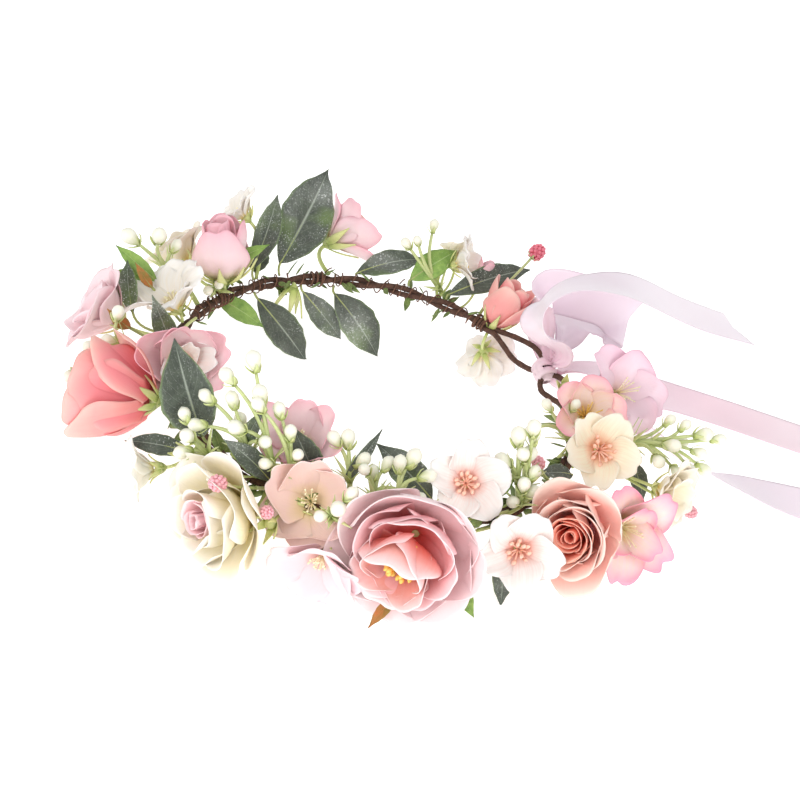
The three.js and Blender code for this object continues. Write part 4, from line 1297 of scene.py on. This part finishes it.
def make_leaf(name, row, material, body="ring", slot="frosted_leaf", extra=False):
    """A folded leaf blade on a bowed midrib, with a wavy rim, raised side veins and a drawn-out tip."""
    base, tip, width, face, bow = row
    seeded = random.Random(name)
    start, end = place(base), place(tip)
    chord = end - start
    front = direction(*face)
    side = front.cross(chord).normalized()
    front = chord.cross(side).normalized()
    crest = (start + end) / 2 + front * 2 * bow * chord.length
    steps, across = 26, 12
    line = bezier(start, crest, end, steps)
    phase = seeded.uniform(0, 6)
    fold = LEAF_FOLDS.get(name, 0.2) + seeded.uniform(-0.04, 0.08)
    curl = seeded.uniform(0.04, 0.1)
    rows = []
    for i, centre in enumerate(line):
        t = i / steps
        half = width / 2 * math.sin(math.pi * t**0.85)**0.92
        half = max(half * (1 - 0.35 * max(0, t - 0.75) / 0.25), 0.35 if t < 0.1 else 0.06)
        row = []
        for j in range(across + 1):
            v = 2 * j / across - 1
            reach = abs(v)
            wave = 0.035 * width * math.sin(9 * t * math.pi + phase + (1.5 if v > 0 else 0)) * reach**2
            vein = 0.16 * math.cos(2 * math.pi * (9 * t - 3.2 * reach)) * reach * (1 - reach) * 2
            bend = fold * half * reach - curl * half * reach**3 + wave + vein
            jag = 1 + 0.02 * math.sin(37 * t + 5 * v)
            row.append(centre + (side * v * half * jag + front * bend) * MM)
        rows.append(row)
    sheets = Sheets()
    sheets.grid(rows, tone=seeded.random())
    sheets.build(name, material, body, thickness=0.35 * MM, slot=slot, stands_for=() if extra else [name])
    rib = Sheets()
    rib_line = [centre - front * 0.15 * MM for centre in line[:-2]]
    rib.tube(rib_line, [mix(0.55, 0.12, k / len(rib_line)) * MM for k in range(len(rib_line))], sides=6)
    stalk = stem_line(start, (line[1] - line[0]).normalized())
    if stalk:
        rib.tube(stalk, 0.6 * MM, sides=6)
    rib.build(name + "_rib", OLIVE_LEAF, body, slot=slot)


LEAF_LOOKS = {
    "leaf_back_bright": "fresh",
    "leaf_left_outer": "fresh",
    "leaf_light_back_left": "fresh",
    "leaf_light_inner": "fresh",
    "leaf_fresh_front": "fresh",
    "leaf_fresh_low": "fresh",
    "leaf_blade_right": "fresh",
    "leaf_blade_left": "fresh",
    "leaf_russet_left": "russet",
    "leaf_russet_up": "russet",
    "leaf_russet_low": "russet",
}


def make_leaves():
    looks = {"fresh": FRESH_LEAF, "russet": RUSSET_LEAF}
    for name, row in [*LEAVES.items(), *EXTRA_LEAVES.items()]:
        look = LEAF_LOOKS.get(name, "dark")
        body = "tall_leaf" if name == "frosted_leaf_tall" else "ring"
        slot = "frosted_leaf" if look == "dark" else "fresh_leaf"
        make_leaf(name, row, looks.get(look, FROSTED), body, slot, extra=name in EXTRA_LEAVES)


# ---- bud sprays ----
# Each row: where the twig forks, then a place and a radius for each bud.
SPRAYS = {
    "bud_spray_left_back": ([161, 108, 12], [([166, 127, 27], 3.6), ([165, 114, 32], 3.4),
                                             ([159.5, 110, 24], 2.4)]),
    "bud_spray_inner_left": ([-110, 93, 14], [([-118, 92, 41], 3.2), ([-123, 90, 52], 3.2),
                                              ([-126, 98, 44], 3),
                                              ([-118, 104, 30], 3)]),
    "bud_spray_front": ([-90, 80, 9], [([-94, 74, 26], 3), ([-98, 76, 25], 2.8), ([-88, 76, 19], 3)]),
    "bud_spray_upright": ([-38, 86, 10], [([-39, 80, 32], 3.4), ([-35, 84, 23], 3.2), ([-42, 79, 20], 3)]),
    "bud_spray_right": ([2, 114, 6], [([5, 147, 15], 3.2), ([1, 133, 12], 3), ([3, 151, 0], 3),
                                      ([-3, 128, 8], 2.8)]),
}
EXTRA_SPRAYS = {
    "bud_spray_low_left": ([-124, 103, 8], [([-126, 114, 20], 2.8), ([-127, 113, 10], 2.8),
                                            ([-131, 108, 22], 2.6)]),
    "bud_spray_middle": ([-76, 84, 8], [([-77, 78, 22], 2.8), ([-73, 76, 24], 3.2), ([-68, 80, 18], 2.8)]),
    "bud_spray_eye": ([0, 89, 2], [([2.6, 75, 15], 2.4), ([3, 87, 18], 2.2), ([-9.5, 71, 10], 2.4)]),
    "bud_spray_far_left": ([-170, 108, 4], [([-170, 118, 5], 2.8), ([-170, 116, 20], 2.8),
                                            ([-167, 126, 5], 2.6),
                                            ([-160, 134, 0], 2.6)]),
    "bud_spray_left_mid": ([-116, 94, 12], [([-124, 96, 34], 2.8), ([-130, 100, 30], 2.8),
                                            ([-122, 92, 24], 2.6),
                                            ([-112, 98, 26], 2.6), ([-128, 106, 20], 2.8)]),
    "bud_spray_hoop_left": ([152, 93, 3], [([155, 89, 10], 2.2), ([152, 91, 13], 2.2), ([158, 91, 8], 2.2)]),
    "bud_spray_back": ([79, 98, 2], [([92, 92, 25], 2.4), ([89, 92, 28], 2), ([86, 107, 30], 2.4)]),
    "bud_spray_up_right": ([-36, 88, 8], [([-37, 84, 38], 3), ([-33, 82, 30], 2.8), ([-44, 84, 14], 2.8),
                                          ([-40, 86, 27], 2.8)]),
    "bud_spray_inner_low": ([-104, 92, 8], [([-108, 90, 30], 2.6), ([-113, 88, 36], 2.6),
                                            ([-104, 94, 24], 2.4),
                                            ([-116, 97, 40], 2.6), ([-110, 100, 18], 2.4)]),
    "bud_spray_middle_low": ([-82, 84, 6], [([-84, 76, 14], 2.6), ([-80, 74, 18], 2.6), ([-87, 84, 20], 2.4),
                                            ([-70, 84, 10], 2.4)]),
    "bud_spray_peony_left": ([-92, 104, 8], [([-91, 108, 16], 3.2), ([-89, 104, 22], 2.6),
                                             ([-94, 110, 12], 2.4)]),
    "bud_spray_up_low": ([-40, 92, 4], [([-41, 92, 16], 2.8), ([-38, 94, 12], 2.6), ([-36, 90, 18], 2.6),
                                        ([-43, 92, 8], 2.6)]),
    "bud_spray_right_tip": ([3, 122, 6], [([5, 154, 14], 2.6), ([2, 146, 10], 2.6), ([6, 138, 16], 2.4),
                                          ([0, 143, 4], 2.4)]),
    "bud_spray_right_low": ([4, 112, 4], [([7, 140, 5], 2.6), ([-1, 138, 2], 2.6), ([8, 132, 14], 2.4)]),
}
# Share of a bud's length, and share of its radius there.
BUD_PROFILE = [(0.0, 0.2), (0.14, 0.42), (0.32, 0.74), (0.52, 0.98), (0.7, 1.0), (0.85, 0.78), (0.94, 0.4),
               (1.0, 0.08)]


def make_spray(name, row, body="ring", extra=False):
    """A forked twig: each branch ends in a drop-shaped bud held by narrow green sepals."""
    seeded = random.Random(name)
    fork, buds = row
    joint = place(fork)
    rise = (place(buds[0][0]) - joint).normalized()
    twigs, heads = Sheets(), Sheets()
    foot = stem_line(joint, rise)
    if foot:
        twigs.tube(foot, 1.0 * MM, sides=8)
    for at, radius in buds:
        end = place(at)
        reach = (end - joint).length
        line = bezier(joint, joint + rise * 0.5 * reach, end, 8)
        axis = (line[-1] - line[-2]).normalized()
        length = radius * 3.0 * MM
        start = end - axis * length * 0.55
        line = bezier(joint, joint + rise * 0.5 * reach, start, 8)
        twigs.tube(line, [mix(1.0, 0.55, k / 8) * MM for k in range(9)], sides=7)
        drop = [start + axis * length * share for share, _ in BUD_PROFILE]
        heads.tube(drop, [radius * size * MM for _, size in BUD_PROFILE], sides=12, tone=seeded.random())
        side = axis.orthogonal().normalized()
        for k in range(3):
            turned = Quaternion(axis, 2.09 * k + seeded.uniform(-0.4, 0.4)) @ side
            blade = []
            for i in range(6):
                t = i / 5
                rim = radius * (0.25 + 0.95 * math.sin(1.6 * t)) * MM
                centre = start + axis * length * 0.42 * t + turned * rim
                half = axis.cross(turned) * radius * 0.42 * (1 - t**1.6) * MM
                blade.append([centre - half, centre, centre + half])
            twigs.grid(blade, tone=0.8)
    for k in range(5):
        lean = Quaternion(rise, 1.26 * k + seeded.uniform(-0.3, 0.3)) @ rise.orthogonal().normalized()
        size = seeded.uniform(7, 13)
        blade = []
        for i in range(7):
            t = i / 6
            centre = joint + (lean * math.sin(0.5 + 0.6 * t) * size * t + rise * size * 0.75 * t) * MM
            half = rise.cross(lean).normalized() * 1.5 * (1 - t**1.5) * MM
            blade.append([centre - half, centre - lean * 0.15 * MM, centre + half])
        twigs.grid(blade, tone=0.3)
    stands_for = () if extra else [name]
    heads.build(name, BUD, body, slot="wax_bud", stands_for=stands_for)
    twigs.build(name + "_twigs", STEM, body, thickness=0.3 * MM, slot="wax_bud")


def make_sprays():
    for name, row in SPRAYS.items():
        make_spray(name, row, "left_buds" if name == "bud_spray_left_back" else "ring")
    for name, row in EXTRA_SPRAYS.items():
        make_spray(name, row, extra=True)


# ---- berries ----
# Radians between one drupelet and the next, and how many would cover the whole berry.
GOLDEN_ANGLE = 2.39996
DRUPELETS = 44
# Each row: where its stalk leaves, its middle, and its radius.
BERRIES = {
    "berry_back": ([65, 104, 8], [62, 125, 28], 4.2),
    "berry_front_left": ([-110, 104, 8], [-114, 122, 16], 3.8),
    "berry_right": ([-4, 118, -4], [-3, 149, -13], 3.2),
}
EXTRA_BERRIES = {
    "berry_middle_right": ([-27, 90, 8], [-29, 85, 15], 3.2),
    "berry_front_left_low": ([-106, 108, 6], [-104, 117, 10], 3),
}


def make_berry(name, row, body="ring", extra=False):
    """A beaded berry: small round drupelets packed over a core, on a thin stalk with a tiny calyx."""
    source, at, radius = row
    foot, middle = place(source), place(at)
    axis = (middle - foot).normalized()
    side = axis.orthogonal().normalized()
    other = axis.cross(side)
    beads, twig = Sheets(), Sheets()
    beads.blob(middle, axis, radius * 0.78 * MM, radius * 1.7 * MM, sides=10, rings=8)
    for k in range(DRUPELETS):
        up = 1 - 2 * (k + 0.5) / DRUPELETS
        if up < -0.86:
            continue
        flat = math.sqrt(1 - up * up)
        a = GOLDEN_ANGLE * k
        normal = (axis * up + (side * math.cos(a) + other * math.sin(a)) * flat).normalized()
        centre = middle + (axis * up * 1.1 + (normal - axis * up) * 0.9) * radius * 0.84 * MM
        beads.blob(centre, normal, radius * 0.235 * MM, radius * 0.46 * MM, sides=8, rings=5,
                   tone=(k * 0.37) % 1)
    line = bezier(foot, (foot + middle) / 2 - Vector((0, 0, 1.5)) * MM, middle - axis * radius * 0.8 * MM, 8)
    twig.tube(line, 0.55 * MM, sides=7)
    start = stem_line(foot, axis)
    if start:
        twig.tube(start, 0.7 * MM, sides=7)
    for k in range(5):
        a = 1.2566 * k
        out = side * math.cos(a) + other * math.sin(a)
        across = axis.cross(out)
        blade = []
        for i in range(5):
            t = i / 4
            centre = middle - axis * radius * (0.95 - 0.35 * t) * MM + out * radius * (0.15 + 0.75 * t) * MM
            half = across * radius * 0.22 * (1 - t**1.5) * MM
            blade.append([centre - half, centre, centre + half])
        twig.grid(blade)
    beads.build(name, BERRY if name == "berry_back" else BERRY_PINK, body, slot="berry",
                stands_for=() if extra else [name])
    twig.build(name + "_stalk", STEM, body, thickness=0.2 * MM, slot="berry")


def make_berries():
    for name, row in BERRIES.items():
        make_berry(name, row, "back_berry" if name == "berry_back" else "ring")
    for name, row in EXTRA_BERRIES.items():
        make_berry(name, row, extra=True)


# ---- floor and light ----
FLOOR_SIZE = 6
FLOOR_HEIGHT = -0.4 * MM
FLOOR_GLOW = 0.55
WORLD_LIGHT = 0.72
# Each row: name, place in metres, size and power.
LAMPS = [
    ("key", (-0.45, -0.75, 0.55), 0.6, 4.0),
    ("front", (0.45, -0.8, 0.3), 0.6, 3.0),
    ("rim", (0.5, 0.6, 0.7), 0.6, 1.2),
]


def make_stage():
    bpy.ops.mesh.primitive_plane_add(size=FLOOR_SIZE, location=(0, 0, FLOOR_HEIGHT))
    floor = bpy.context.object
    floor.name = "floor"
    s = Shader("floor_white", roughness=0.9)
    tint = s.ramp(s.noise(3, 2), [(0.3, (0.95, 0.95, 0.95)), (0.7, (0.97, 0.97, 0.97))])
    s.colour(tint)
    s.surface.inputs["Emission Color"].default_value = (1, 1, 1, 1)
    s.surface.inputs["Emission Strength"].default_value = FLOOR_GLOW
    floor.data.materials.append(s.material)
    scene = bpy.context.scene
    scene.view_settings.view_transform = "Standard"
    scene.view_settings.look = "None"
    world = bpy.data.worlds.new("studio")
    world.use_nodes = True
    world.node_tree.nodes["Background"].inputs["Color"].default_value = (1, 1, 1, 1)
    world.node_tree.nodes["Background"].inputs["Strength"].default_value = WORLD_LIGHT
    scene.world = world
    for name, spot, size, power in LAMPS:
        data = bpy.data.lights.new(name, "AREA")
        data.size = size
        data.energy = power
        lamp = bpy.data.objects.new(name, data)
        lamp.location = spot
        lamp.rotation_euler = (HOOP_CENTRE - Vector(spot)).to_track_quat("-Z", "Y").to_euler()
        scene.collection.objects.link(lamp)


make_camera()
make_ribbon("ribbon_bow_loop", RIBBONS["ribbon_bow_loop"], SATIN)
make_ribbon("ribbon_tail_upper", RIBBONS["ribbon_tail_upper"], SATIN, notch=9)
make_ribbon("ribbon_tail_long", RIBBONS["ribbon_tail_long"], SATIN_PINK, notch=8)
make_ribbon("ribbon_tail_low", RIBBONS["ribbon_tail_low"], SATIN, notch=8)
make_knot()
for strand_name, strand_side in (("wire_strand_a", 1), ("wire_strand_b", -1)):
    make_strand(strand_name, strand_side)
make_bindings()
make_wraps()
make_peony()
make_peach_rose()
make_coral_rose()
make_cream_rose()
make_daisy()
make_blossoms()
make_inner_blossom()
make_peach_blossom()
make_left_rosebud()
make_back_blossom()
make_front_left_blossom()
make_right_rosebud()
make_extra_heads()
make_greenery()
make_leaves()
make_sprays()
make_berries()
make_stage()
